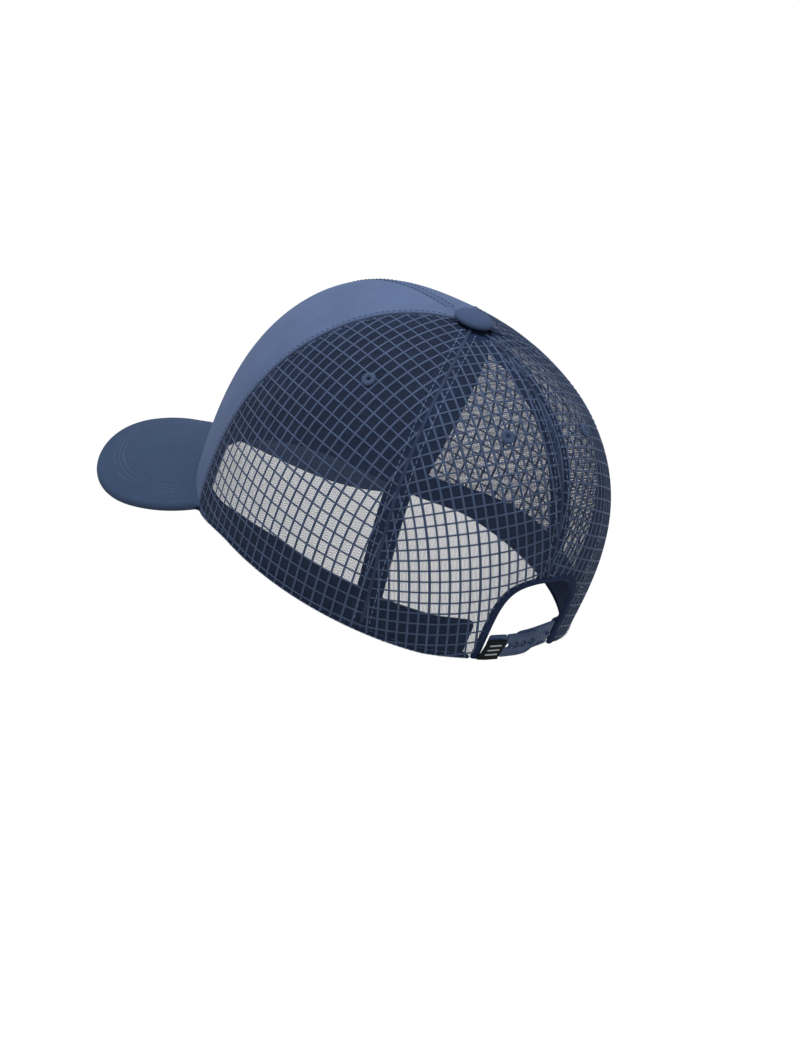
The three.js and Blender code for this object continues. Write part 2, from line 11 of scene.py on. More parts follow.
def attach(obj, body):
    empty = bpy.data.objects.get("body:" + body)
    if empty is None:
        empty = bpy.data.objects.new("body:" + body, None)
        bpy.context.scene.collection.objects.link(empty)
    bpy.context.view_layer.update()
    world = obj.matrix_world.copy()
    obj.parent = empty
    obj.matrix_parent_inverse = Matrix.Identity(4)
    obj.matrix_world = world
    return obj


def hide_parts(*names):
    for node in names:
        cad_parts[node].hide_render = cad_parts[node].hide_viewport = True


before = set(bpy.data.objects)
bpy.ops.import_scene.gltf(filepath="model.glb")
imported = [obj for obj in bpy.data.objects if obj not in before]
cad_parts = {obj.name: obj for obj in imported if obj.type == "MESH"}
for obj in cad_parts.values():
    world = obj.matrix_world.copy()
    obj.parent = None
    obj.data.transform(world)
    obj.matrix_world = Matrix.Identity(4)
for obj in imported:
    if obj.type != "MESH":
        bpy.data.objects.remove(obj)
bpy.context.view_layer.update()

# ---- the crown's surface, as in the CAD part: millimetres, upright, visor towards -Y ----

PLAN_X = (75.4, 3.1, -9.9)
PLAN_Y = (7.3, -114.4, -6.7, 9.7)
CROWN_HEIGHT, APEX_Y = 128.0, 11.3
ROUNDNESS = (2.39, 0.06, 0.18)
FULLNESS = (0.08, -0.05, -0.03)
FRONT_SEAM, SIDE_SEAM, BACK = 62.0, 115.0, 180.0
SEAM_BOW = {FRONT_SEAM: 4.2, SIDE_SEAM: -2.9}
VISOR_FRONT_Z, VISOR_DROOP, VISOR_DROOP_AT, VISOR_DROOP_POWER = 0.8, 29.4, 75.0, 2.2
VISOR_PITCH = math.radians(21)
VISOR_CENTRE_Y, VISOR_HALF_WIDTH, VISOR_REACH = -83.1, 75.2, 80.4
VISOR_OUTLINE_POWER, VISOR_WRAP = 2.22, 110.0
VISOR_LIFT, VISOR_ROOT_GAP, VISOR_DIP = 0.8, 1.8, 0.0552
SIDE_RIM_START, BACK_RISE_START, BACK_RISE = 80.0, 132.0, 4.9
REST_TILT, REST_Y, FRAME_SHIFT_Y = math.radians(9.17), 92.0, 26.1
ARCH_HALF, ARCH_HEIGHT, ARCH_POWER = 27.3, 38.5, 5.5
BINDING_ANGLE, BINDING_WIDTH = 3.8, 3.0
SWEATBAND_END, SWEATBAND_HEIGHT = 146.0, 20.0
STRAP_BOTTOM, STRAP_WIDTH = 3.4, 12.6
LIFTED_CORNER, LIFT_GROWS, LIFT_FADES = 3.4, (112, 148), (150, 182)

# How far to step, in radians or in rise, when a slope is measured, and where the last one is taken.
STEP, HIGHEST_RISE = 1e-3, 0.9995


def harmonics(c, a):
    return c[0] + c[1] * np.cos(a) + c[2] * np.cos(2 * a)


def plan(a):
    x = PLAN_X[0] * np.sin(a) + PLAN_X[1] * np.sin(2 * a) + PLAN_X[2] * np.sin(3 * a)
    y = PLAN_Y[0] + PLAN_Y[1] * np.cos(a) + PLAN_Y[2] * np.cos(2 * a) + PLAN_Y[3] * np.cos(3 * a)
    return x, y


def visor_height(x, y):
    droop = VISOR_DROOP * (np.abs(x) / VISOR_DROOP_AT) ** VISOR_DROOP_POWER
    return VISOR_FRONT_Z - droop + math.tan(VISOR_PITCH) * (y - plan(0.0)[1])


def smooth_step(v):
    v = np.clip(v, 0, 1)
    return v * v * (3 - 2 * v)


def climb_over(v, span):
    """0 before a span, 1 after it and a smooth climb between."""
    return smooth_step((v - span[0]) / (span[1] - span[0]))


def bell(v, at, width):
    return np.exp(-((v - at) / width) ** 2)


def bulge(v, power):
    """A sine or cosine made squarer or rounder, with its sign kept."""
    return np.sign(v) * np.abs(v) ** power


def full_turn(count):
    return np.arange(count) * 2 * pi / count


def unit(v):
    return v / np.linalg.norm(v, axis=-1, keepdims=True)


def rest_plane(y):
    return math.tan(REST_TILT) * (y - REST_Y)


def uneven(a):
    """The worn cap's right back corner stands a little higher than its left."""
    right = -((np.degrees(a) + 180) % 360 - 180)
    return LIFTED_CORNER * climb_over(right, LIFT_GROWS) * (1 - climb_over(right, LIFT_FADES))


def rim(a):
    """Height of the crown's lower edge."""
    degrees = np.abs((np.degrees(a) + 180) % 360 - 180)
    x, y = plan(np.radians(np.minimum(degrees, FRONT_SEAM)))
    fade = np.clip((degrees - FRONT_SEAM) / (SIDE_RIM_START - FRONT_SEAM), 0, 1)
    z = visor_height(x, y) * (1 + np.cos(pi * fade)) / 2
    z = z + BACK_RISE * climb_over(degrees, (BACK_RISE_START, BACK))
    return np.maximum(z, rest_plane(plan(a)[1])) + uneven(a)


def surface(a, rise):
    """Points of the outer surface: rise is 0 at the rim and 1 at the apex."""
    a, rise = np.broadcast_arrays(np.asarray(a, float), np.asarray(rise, float))
    phi = rise * pi / 2
    power = 2 / harmonics(ROUNDNESS, a)
    reach = np.maximum(np.cos(phi), 0) ** power * (1 + harmonics(FULLNESS, a) * np.sin(2 * phi))
    x, y = plan(a)
    base = rim(a)
    z = base + (CROWN_HEIGHT - base) * np.sin(phi) ** power
    return np.stack([x * reach, APEX_Y + (y - APEX_Y) * reach, z], -1)


def normal(a, rise):
    low, high = np.maximum(rise - STEP, 0), np.minimum(rise + STEP, HIGHEST_RISE)
    along = surface(a + STEP, rise) - surface(a - STEP, rise)
    return unit(np.cross(along, surface(a, high) - surface(a, low)))


def crown(a, rise, offset=0.0):
    return surface(a, rise) + normal(a, rise) * np.asarray(offset, float)[..., None]


ANGLES = np.radians(np.arange(-180, 181.0))
RISES = np.linspace(0, 1, 320) ** 2
LENGTH_STEP, LENGTHS = 0.5, 500


def arc(points, axis):
    d = np.linalg.norm(np.diff(points, axis=axis), axis=-1)
    return np.concatenate([np.zeros_like(d.take([0], axis)), np.cumsum(d, axis)], axis)


MERIDIANS = arc(surface(ANGLES[:, None], RISES[None]), 1)
RISE_TABLE = np.array([np.interp(np.arange(LENGTHS) * LENGTH_STEP, m, RISES) for m in MERIDIANS])


def look_up(table, i, j):
    """Bilinear lookup at fractional indices."""
    i, j = np.broadcast_arrays(np.clip(i, 0, table.shape[0] - 1.001), np.clip(j, 0, table.shape[1] - 1.001))
    i0, j0 = i.astype(int), j.astype(int)
    fi, fj = i - i0, j - j0
    low = table[i0, j0] * (1 - fj) + table[i0, j0 + 1] * fj
    high = table[i0 + 1, j0] * (1 - fj) + table[i0 + 1, j0 + 1] * fj
    return low * (1 - fi) + high * fi


def rise_at(degrees, height):
    degrees = (np.asarray(degrees, float) + 180) % 360 - 180
    return look_up(RISE_TABLE, degrees + 180, np.maximum(height, 0) / LENGTH_STEP)


def wall(degrees, height, offset=0.0):
    """A point of the wall, by its height along the cloth above the rim."""
    values = (np.asarray(v, float) for v in (degrees, height, offset))
    degrees, height, offset = np.broadcast_arrays(*values)
    p = crown(np.radians(degrees), rise_at(degrees, height), offset)
    p[..., 2] += np.minimum(height, 0)
    return p


def level(degrees, z, offset=0.0):
    """A point of the wall, by its own height whatever the rim does there."""
    a = np.radians(degrees)
    return wall(degrees, z + uneven(a) - rim(a), offset)


def arch_height(from_back, half, height):
    across = np.minimum(np.abs(from_back) / half, 1)
    return height * (1 - across ** ARCH_POWER) ** (1 / ARCH_POWER)


def to_row(p):
    """Crown millimetres to the row frame's metres: tipped back to rest, and centred."""
    c, s = math.cos(REST_TILT), math.sin(REST_TILT)
    x, y, z = p[..., 0], p[..., 1], p[..., 2]
    return np.stack([x, c * y + s * z + FRAME_SHIFT_Y, -s * y + c * z + REST_Y * s], -1) / 1000


# ---- mesh building ----

def new_object(name, data):
    made = bpy.data.objects.new(name, data)
    bpy.context.scene.collection.objects.link(made)
    return made


def add(name, mesh_data, material, node=None, body="crown", uv=None):
    """A piece from verts in crown millimetres and faces, a list of (n, k) index arrays.

    node is the CAD node that it stands for, if it does.
    """
    verts, faces = mesh_data
    v = to_row(np.asarray(verts, float).reshape(-1, 3))
    faces = [np.asarray(f) for f in faces if len(f)]
    loops = np.concatenate([f.ravel() for f in faces]).astype(np.int32)
    sizes = np.concatenate([np.full(len(f), f.shape[1]) for f in faces]).astype(np.int32)
    mesh = bpy.data.meshes.new(name)
    mesh.vertices.add(len(v))
    mesh.vertices.foreach_set("co", v.astype(np.float32).ravel())
    mesh.loops.add(len(loops))
    mesh.loops.foreach_set("vertex_index", loops)
    mesh.polygons.add(len(sizes))
    mesh.polygons.foreach_set("loop_start", (np.cumsum(sizes) - sizes).astype(np.int32))
    mesh.polygons.foreach_set("use_smooth", np.ones(len(sizes), bool))
    if uv is not None:
        flat = np.asarray(uv).reshape(-1, 2)[loops] / 1000
        mesh.uv_layers.new(name="cloth").data.foreach_set("uv", flat.astype(np.float32).ravel())
    mesh.update(calc_edges=True)
    mesh.validate()
    mesh.materials.append(material)
    piece = new_object(name, mesh)
    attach(piece, body)
    if node:
        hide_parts(node)
    return piece


def grid_faces(n, m, wrap_n=False, wrap_m=False, start=0):
    """Quads of an n by m grid of points."""
    i = np.arange(n if wrap_n else n - 1)[:, None]
    j = np.arange(m if wrap_m else m - 1)[None]
    i1, j1 = (i + 1) % n, (j + 1) % m
    quads = np.stack([i * m + j, i1 * m + j, i1 * m + j1, i * m + j1], -1)
    return quads.reshape(-1, 4) + start


def shell(outer, inner):
    """Verts and faces of a closed sheet between two grids of points."""
    n, m = outer.shape[:2]
    count = n * m
    back = grid_faces(n, m, start=count)[:, ::-1]
    edge = np.concatenate([
        np.arange(m), np.arange(1, n) * m + m - 1, (n - 1) * m + np.arange(m - 1)[::-1],
        np.arange(1, n - 1)[::-1] * m,
    ])
    after = np.roll(edge, -1)
    sides = np.stack([edge, edge + count, after + count, after], -1)
    verts = np.concatenate([outer.reshape(-1, 3), inner.reshape(-1, 3)])
    return verts, [grid_faces(n, m), back, sides[:, ::-1]]


def flat_uv(u, v):
    """Flat places in millimetres for both faces of a shell."""
    return np.concatenate([np.stack([u, v], -1).reshape(-1, 2)] * 2)


def tubes(paths, normals, width, height, sides=6, taper=None, caps=True):
    """Verts and faces of many tubes at once: paths and normals are (count, points, 3)."""
    count, n = paths.shape[:2]
    across = unit(np.cross(np.gradient(paths, axis=1), normals))
    turn = (np.arange(sides) + 0.5) * 2 * pi / sides
    size = np.ones(n) if taper is None else taper
    ring = (np.cos(turn)[:, None] * across[:, :, None] * width
            + np.sin(turn)[:, None] * normals[:, :, None] * height) * 0.5 * size[None, :, None, None]
    verts = paths[:, :, None] + ring
    base = np.arange(count)[:, None, None] * n * sides
    faces = [(grid_faces(n, sides, wrap_m=True)[None] + base).reshape(-1, 4)]
    if caps:
        first = np.arange(sides)[::-1][None] + base[:, 0]
        last = np.arange(sides)[None] + (n - 1) * sides + base[:, 0]
        faces += [first, last]
    return verts.reshape(-1, 3), faces


def bar_faces(rings):
    """Faces of one bar with capped ends, from its rings of points."""
    n, sides = rings.shape[:2]
    ring = np.arange(sides)
    return [grid_faces(n, sides, wrap_m=True), ring[::-1][None], (ring + (n - 1) * sides)[None]]


def joined(parts):
    """Several (verts, faces) as one."""
    verts, faces, start = [], [], 0
    for v, f in parts:
        verts.append(v.reshape(-1, 3))
        faces += [np.asarray(one) + start for one in f]
        start += len(verts[-1])
    return np.concatenate(verts), faces


Stitch = namedtuple("Stitch", "length pitch width height lift")
FRONT_STITCH = Stitch(1.9, 2.7, 0.42, 0.3, 0.0)
PANEL_EDGE_STITCH = Stitch(1.9, 2.7, 0.38, 0.3, 0.0)
NET_STITCH = Stitch(2.1, 2.9, 0.42, 0.32, 0.05)
HEM_STITCH = Stitch(2.1, 2.7, 0.36, 0.3, 0.05)
ARCH_STITCH = Stitch(2.0, 2.8, 0.36, 0.3, 0.05)
VISOR_STITCH = Stitch(2.1, 2.9, 0.36, 0.28, 0.0)
SWEATBAND_STITCH = Stitch(2.2, 3.1, 0.4, 0.3, 0.05)
FIRST_STITCH, STITCH_DIP = 0.3, 0.2


def stitches(path, normals, kind):
    """A row of separate stitches, each a short thread that dips into the cloth at its ends."""
    travelled = arc(path, 0)
    starts = np.arange(FIRST_STITCH, travelled[-1] - kind.length, kind.pitch)
    x = np.linspace(-1, 1, 5)
    s = starts[:, None] + (x + 1) / 2 * kind.length

    def resample(values):
        return np.stack([np.interp(s, travelled, values[:, k]) for k in range(3)], -1)

    n = unit(resample(normals))
    p = resample(path) + n * (kind.lift - STITCH_DIP * x ** 2)[None, :, None]
    return tubes(p, n, kind.width, kind.height, taper=np.sqrt(1.15 - x ** 2))


def lathe(profile, origin, axis, segments):
    """A turned solid: profile is (radius, height) pairs from the axis to the axis."""
    axis = unit(np.asarray(axis, float))
    side = unit(np.cross(axis, (1.0, 0.0, 0.0)))
    turn = full_turn(segments)
    r, h = np.asarray(profile, float).T
    out = np.cos(turn)[:, None] * side + np.sin(turn)[:, None] * np.cross(axis, side)
    verts = origin + r[:, None, None] * out[None] + h[:, None, None] * axis
    return verts.reshape(-1, 3), bar_faces(verts)


# ---- materials ----

def srgb(r, g, b):
    c = np.array((r, g, b)) / 255
    return tuple(np.where(c <= 0.04045, c / 12.92, ((c + 0.055) / 1.055) ** 2.4)) + (1.0,)


def new_material(name, color, roughness, sheen=0.0, metallic=0.0, specular=0.5):
    m = bpy.data.materials.new(name)
    m.use_nodes = True
    shader = m.node_tree.nodes["Principled BSDF"]
    for socket, value in (
        ("Base Color", color), ("Roughness", roughness), ("Metallic", metallic),
        ("Specular IOR Level", specular), ("Sheen Weight", sheen), ("Sheen Roughness", 0.5),
    ):
        shader.inputs[socket].default_value = value
    m.diffuse_color = color
    return m, m.node_tree.nodes, m.node_tree.links, shader


def noise(nodes, links, vector, scale, detail=3.0):
    n = nodes.new("ShaderNodeTexNoise")
    n.inputs["Scale"].default_value = scale
    n.inputs["Detail"].default_value = detail
    links.new(vector, n.inputs["Vector"])
    return n.outputs["Fac"]


def ramp(nodes, links, value, low, high, at=(0.3, 0.7)):
    r = nodes.new("ShaderNodeValToRGB")
    r.color_ramp.elements[0].position, r.color_ramp.elements[0].color = at[0], low
    r.color_ramp.elements[1].position, r.color_ramp.elements[1].color = at[1], high
    links.new(value, r.inputs["Fac"])
    return r.outputs["Color"]


def math_node(nodes, links, operation, a, b):
    n = nodes.new("ShaderNodeMath")
    n.operation = operation
    for socket, value in zip(n.inputs, (a, b)):
        if isinstance(value, (int, float)):
            socket.default_value = value
        else:
            links.new(value, socket)
    return n.outputs[0]


def wave(nodes, links, vector, period, angle):
    """Stripes of a period in metres, turned by an angle in degrees."""
    turn = nodes.new("ShaderNodeMapping")
    turn.inputs["Rotation"].default_value = (0, 0, math.radians(angle))
    links.new(vector, turn.inputs["Vector"])
    w = nodes.new("ShaderNodeTexWave")
    w.inputs["Scale"].default_value = 2 * pi / 20 / period
    links.new(turn.outputs["Vector"], w.inputs["Vector"])
    return w.outputs["Fac"]


def bump(nodes, links, shader, height, strength, distance):
    b = nodes.new("ShaderNodeBump")
    b.inputs["Strength"].default_value = strength
    b.inputs["Distance"].default_value = distance
    links.new(height, b.inputs["Height"])
    links.new(b.outputs["Normal"], shader.inputs["Normal"])


def scaled(color, k):
    return tuple(min(c * k, 1.0) for c in color[:3]) + (1.0,)


def grey(v):
    return (v, v, v, 1.0)


def mottled(nodes, links, shader, value, color, mottle, at=(0.3, 0.7)):
    tone = ramp(nodes, links, value, scaled(color, 1 - mottle), scaled(color, 1 + mottle), at)
    links.new(tone, shader.inputs["Base Color"])


def worn(nodes, links, shader, value, low, high):
    links.new(ramp(nodes, links, value, grey(low), grey(high)), shader.inputs["Roughness"])


# Noise scales, in features per metre.
CLOTH_FUZZ, CLOTH_PATCHES = 2600, 55
YARN_FUZZ, YARN_PATCHES = 3000, 90
PLASTIC_GRAIN, PLASTIC_PATCHES, PLASTIC_MARKS = 1800, 120, 300
CLOTH_ROUGHNESS, YARN_ROUGHNESS = 0.85, 0.6


def cloth(name, color, period=0.0007, angles=(38, 128), depth=0.35, mottle=0.07, uv=True):
    """Woven cloth: two crossing sets of fine ridges, fibre fuzz and a faint unevenness of colour."""
    m, nodes, links, shader = new_material(name, color, CLOTH_ROUGHNESS, sheen=0.12, specular=0.08)
    shader.inputs["Sheen Tint"].default_value = scaled(color, 2.0)
    where = nodes.new("ShaderNodeTexCoord")
    flat = where.outputs["UV"] if uv else where.outputs["Object"]
    ridges = [wave(nodes, links, flat, period, a) for a in angles]
    weave = math_node(nodes, links, "MULTIPLY", *ridges)
    fuzz = noise(nodes, links, where.outputs["Object"], CLOTH_FUZZ, 2)
    height = math_node(nodes, links, "ADD", weave, math_node(nodes, links, "MULTIPLY", fuzz, 0.7))
    bump(nodes, links, shader, height, depth, 0.0002)
    patches = noise(nodes, links, where.outputs["Object"], CLOTH_PATCHES, 4)
    shade = math_node(nodes, links, "ADD", math_node(nodes, links, "MULTIPLY", weave, 0.35), patches)
    mottled(nodes, links, shader, shade, color, mottle, (0.35, 0.85))
    worn(nodes, links, shader, fuzz, CLOTH_ROUGHNESS - 0.06, CLOTH_ROUGHNESS + 0.06)
    return m


def yarn(name, color):
    """Twisted synthetic yarn or thread."""
    m, nodes, links, shader = new_material(name, color, YARN_ROUGHNESS, specular=0.15)
    where = nodes.new("ShaderNodeTexCoord").outputs["Object"]
    twist = wave(nodes, links, where, 0.00045, 35)
    fuzz = noise(nodes, links, where, YARN_FUZZ, 2)
    bump(nodes, links, shader, math_node(nodes, links, "ADD", twist, fuzz), 0.4, 0.0001)
    mottled(nodes, links, shader, noise(nodes, links, where, YARN_PATCHES), color, 0.12)
    return m


def plastic(name, color, roughness, metallic=0.0, specular=0.5):
    """Moulded plastic or pressed metal: a fine grain and faint handling marks."""
    m, nodes, links, shader = new_material(name, color, roughness, metallic=metallic, specular=specular)
    where = nodes.new("ShaderNodeTexCoord").outputs["Object"]
    bump(nodes, links, shader, noise(nodes, links, where, PLASTIC_GRAIN, 4), 0.25, 0.00008)
    mottled(nodes, links, shader, noise(nodes, links, where, PLASTIC_PATCHES), color, 0.07)
    marks = noise(nodes, links, where, PLASTIC_MARKS, 5)
    worn(nodes, links, shader, marks, roughness - 0.07, roughness + 0.08)
    return m


FRONT_CLOTH = cloth("front_cloth", srgb(89, 106, 141), depth=0.35, mottle=0.09)
VISOR_CLOTH = cloth("visor_cloth", srgb(56, 73, 101), depth=0.3, mottle=0.07)
BUTTON_CLOTH = cloth("button_cloth", srgb(68, 83, 114), depth=0.3, mottle=0.06, uv=False)
NAVY_CLOTH = cloth("navy_cloth", srgb(31, 46, 76), period=0.0009, depth=0.4, mottle=0.12)
BACKING_CLOTH = cloth("backing_cloth", srgb(28, 39, 63), 0.0012, (0, 90), depth=0.5, mottle=0.2)
NET_YARN = yarn("net_yarn", srgb(69, 86, 117))
FINE_YARN = yarn("fine_net_yarn", srgb(43, 57, 85))
PALE_THREAD = yarn("pale_thread", srgb(112, 128, 158))
BLUE_THREAD = yarn("blue_thread", srgb(74, 92, 124))
DARK_THREAD = yarn("dark_thread", srgb(36, 49, 80))
EYELET_THREAD = yarn("eyelet_thread", srgb(66, 82, 112))
# The hem's edge thread is near-white: real pale stitches, with a painted highlight added so that they show
# on the hem's shaded underside.
EDGE_THREAD_PAINTED_HIGHLIGHT = yarn("edge_thread_painted_highlight", srgb(208, 214, 226))
VISOR_THREAD = yarn("visor_thread", srgb(88, 106, 138))
STRAP_PLASTIC = plastic("strap_plastic", srgb(57, 76, 110), 0.5, specular=0.2)
RIVET_METAL = plastic("rivet_metal", srgb(150, 152, 156), 0.35, 1.0)
BOARD = plastic("visor_board", srgb(215, 212, 205), 0.6)
LABEL_CLOTH = cloth("label_cloth", srgb(24, 26, 30), 0.0005, (0, 90), depth=0.5, mottle=0.2)
LABEL_THREAD = yarn("label_thread", srgb(190, 192, 196))


# ---- front panels ----

def seam_angle(degrees, rise):
    bow = SEAM_BOW.get(abs(degrees), 0.0) * np.sign(degrees)
    return np.radians(degrees + bow * np.sin(pi * rise))


def beside_seam(degrees, distance, rises):
    """Angles of a line on the crown that runs at a distance in millimetres from a seam."""
    a = seam_angle(degrees, rises)
    rate = np.linalg.norm(surface(a + STEP, rises) - surface(a - STEP, rises), axis=-1) / (2 * STEP)
    return a + distance / rate


def seam_row(degrees, distance, rises, offset):
    a = beside_seam(degrees, distance, rises)
    return crown(a, rises, offset), normal(a, rises)


def dense(n):
    """Shares from 0 to 1, packed towards both ends."""
    x = np.linspace(-1, 1, n)
    return (np.sign(x) * (1 - (1 - np.abs(x)) ** (1 / 0.62)) + 1) / 2


APEX_RISE, PANEL_BACK = 0.985, -1.55
# The cloth's dips and swells beside a seam: depth, distance from the seam and width.
CENTRE_RELIEF = ((-0.9, 0.0, 0.7), (0.25, 1.6, 1.2), (-0.18, 2.4, 0.35))
SIDE_RELIEF = ((-1.3, 0.0, 0.9), (0.35, 2.0, 1.4), (-0.18, 2.6, 0.35))
SWELL, SWELL_UP, SWELL_ACROSS, SWELL_CLEAR = 0.22, 17, 23, (0, 14)
BACKING_RISES, BACKING_INSET, BACKING_FRONT, BACKING_REAR = (0.02, 0.93), 0.03, -1.75, -2.1


def relief(distance, bells):
    return sum(depth * bell(distance, at, width) for depth, at, width in bells)


def front_panel(side, sign):
    share = dense(70)[:, None]
    rise = (np.linspace(0, 1, 110) ** 1.15 * APEX_RISE)[None] + 0 * share
    low, high = seam_angle(0.0, rise), seam_angle(sign * FRONT_SEAM, rise)
    a = low + (high - low) * share
    flat = surface(a, rise)
    across, climb = arc(flat, 0), arc(flat, 1)
    from_side = across[-1:] - across
    swell = SWELL * np.sin(climb / SWELL_UP + across / SWELL_ACROSS)
    swell = swell * climb_over(from_side, SWELL_CLEAR) * climb_over(across, SWELL_CLEAR)
    outer = crown(a, rise, relief(across, CENTRE_RELIEF) + relief(from_side, SIDE_RELIEF) + swell)
    piece = add(f"front_panel_cloth_{side}", shell(outer, crown(a, rise, PANEL_BACK)), FRONT_CLOTH,
                node=f"front_panel_{side}", uv=flat_uv(across, climb))


def backing(side, sign):
    share = np.linspace(0, 1, 30)[:, None]
    rise = np.linspace(*BACKING_RISES, 60)[None] + 0 * share
    low, high = seam_angle(0.0, rise), seam_angle(sign * FRONT_SEAM, rise)
    a = low + (high - low) * (BACKING_INSET + (1 - 2 * BACKING_INSET) * share)
    ripple = 0.1 * np.sin(a * 40) * np.sin(rise * 25)
    sheet = shell(crown(a, rise, BACKING_FRONT + ripple), crown(a, rise, BACKING_REAR + ripple))
    flat = surface(a, rise)
    across, climb = arc(flat, 0), arc(flat, 1)
    piece = add(f"buckram_{side}", sheet, BACKING_CLOTH,
                node=f"front_backing_{side}", uv=flat_uv(across, climb))


# ---- mesh panels ----

SIDE_PITCH, BACK_PITCH = (5.55, 6.45), (4.7, 5.9)
UPRIGHT_YARN, LEVEL_YARN, YARN_HEIGHT = 1.25, 0.95, 0.34
UPRIGHT_DEPTH, LEVEL_DEPTH, FINE_DEPTH = -0.2, -0.15, -0.35
FINE_PITCH_U, FINE_PITCH_V = 0.62, 0.95
BAR_WIDTH, LINK_WIDTH, LINK_RISE, FINE_THICK = 0.32, 0.25, 0.2, 0.09
NET_START, NET_END, SEAM_LAP = 0.5, 0.975, 0.35
SIDE_PHASE, BACK_PHASE = (0.611, 0.221), (0.036, 0.817)
SIDE_LEAN, BACK_LEAN = 1.0, -15.0


class Gore:
    """A mesh panel's own flat pattern, laid straight over the crown.

    v runs along a line of the net's grain, which leans by some degrees from upright, and u runs
    straight out from that line on both sides. Both are 0 at a point in the middle of the panel.
    """

    STEP, REACH, BELOW, ABOVE, BASE = 1.25, 90.0, 75.0, 110.0, 60.0
    LOOK, MOST_TURN, MOST_CLIMB = 0.25, 12, 2

    def __init__(self, low, high, lean):
        self.low, self.high = low, high
        middle, base = np.array([(low + high) / 2]), np.array([self.BASE])
        along = unit(wall(middle + self.LOOK, base) - wall(middle - self.LOOK, base))
        n = normal(np.radians(middle), rise_at(middle, base))
        turn = math.radians(lean)
        heading = math.cos(turn) * np.cross(n, along) + math.sin(turn) * along
        up = self.trace(middle, base, heading, self.ABOVE)[0]
        down = self.trace(middle, base, -heading, self.BELOW)[0]
        line = np.concatenate([down[:0:-1], up])
        place = wall(line[:, 0], line[:, 1])
        out = unit(np.cross(np.gradient(place, axis=0), normal(np.radians(line[:, 0]), rise_at(*line.T))))
        right = self.trace(*line.T, out, self.REACH)
        left = self.trace(*line.T, -out, self.REACH)
        self.table = np.concatenate([left[:, :0:-1], right], 1)

    def trace(self, degrees, height, heading, reach):
        """Follow straight lines over the crown, all at once."""
        look = self.LOOK
        track = [np.stack([degrees, height], -1)]
        for _ in range(int(reach / self.STEP)):
            a = (wall(degrees + look, height) - wall(degrees - look, height)) / (2 * look)
            h = (wall(degrees, height + look) - wall(degrees, height - look)) / (2 * look)
            aa, ah, hh = (a * a).sum(-1), (a * h).sum(-1), (h * h).sum(-1)
            ta, th = (a * heading).sum(-1), (h * heading).sum(-1)
            scale = self.STEP / np.maximum(aa * hh - ah * ah, 1e-6)
            degrees = degrees + np.clip((ta * hh - th * ah) * scale, -self.MOST_TURN, self.MOST_TURN)
            height = height + np.clip((th * aa - ta * ah) * scale, -self.MOST_CLIMB, self.MOST_CLIMB)
            n = unit(np.cross(a, h))
            heading = unit(heading - n * (heading * n).sum(-1, keepdims=True))
            track.append(np.stack([degrees, height], -1))
        return np.stack(track, 1)

    def angle_height(self, u, v):
        row = (v + self.BELOW) / self.STEP
        column = (u + self.REACH) / self.STEP
        return look_up(self.table[..., 0], row, column), look_up(self.table[..., 1], row, column)

    def place(self, u, v, offset):
        degrees, height = self.angle_height(u, v)
        return wall(degrees, height, offset), normal(np.radians(degrees), rise_at(degrees, height))

    def inside(self, u, v):
        degrees, height = self.angle_height(u, v)
        rise = rise_at(degrees, height)
        low, high = (np.degrees(seam_angle(side, rise)) for side in (self.low, self.high))
        half, tall = ARCH_HALF + BINDING_ANGLE / 2, ARCH_HEIGHT + BINDING_WIDTH / 2
        between = (degrees > low - SEAM_LAP) & (degrees < high + SEAM_LAP)
        above = height > np.maximum(arch_height(BACK - np.abs(degrees), half, tall), NET_START)
        return between & above & (rise < NET_END)


def runs(gore, fixed, moving, vertical, points):
    """Straight threads of the flat pattern: for each fixed coordinate, the stretch inside the panel."""
    grids = np.meshgrid(fixed, moving, indexing="ij")
    u, v = grids if vertical else grids[::-1]
    ok = gore.inside(u, v)
    keep = ok.sum(1) > 2
    first, last = ok.argmax(1)[keep], (ok.shape[1] - 1 - ok[:, ::-1].argmax(1))[keep]
    t = np.linspace(0, 1, points)[None]
    moved = moving[first][:, None] * (1 - t) + moving[last][:, None] * t
    still = fixed[keep][:, None] + 0 * t
    return (still, moved) if vertical else (moved, still)


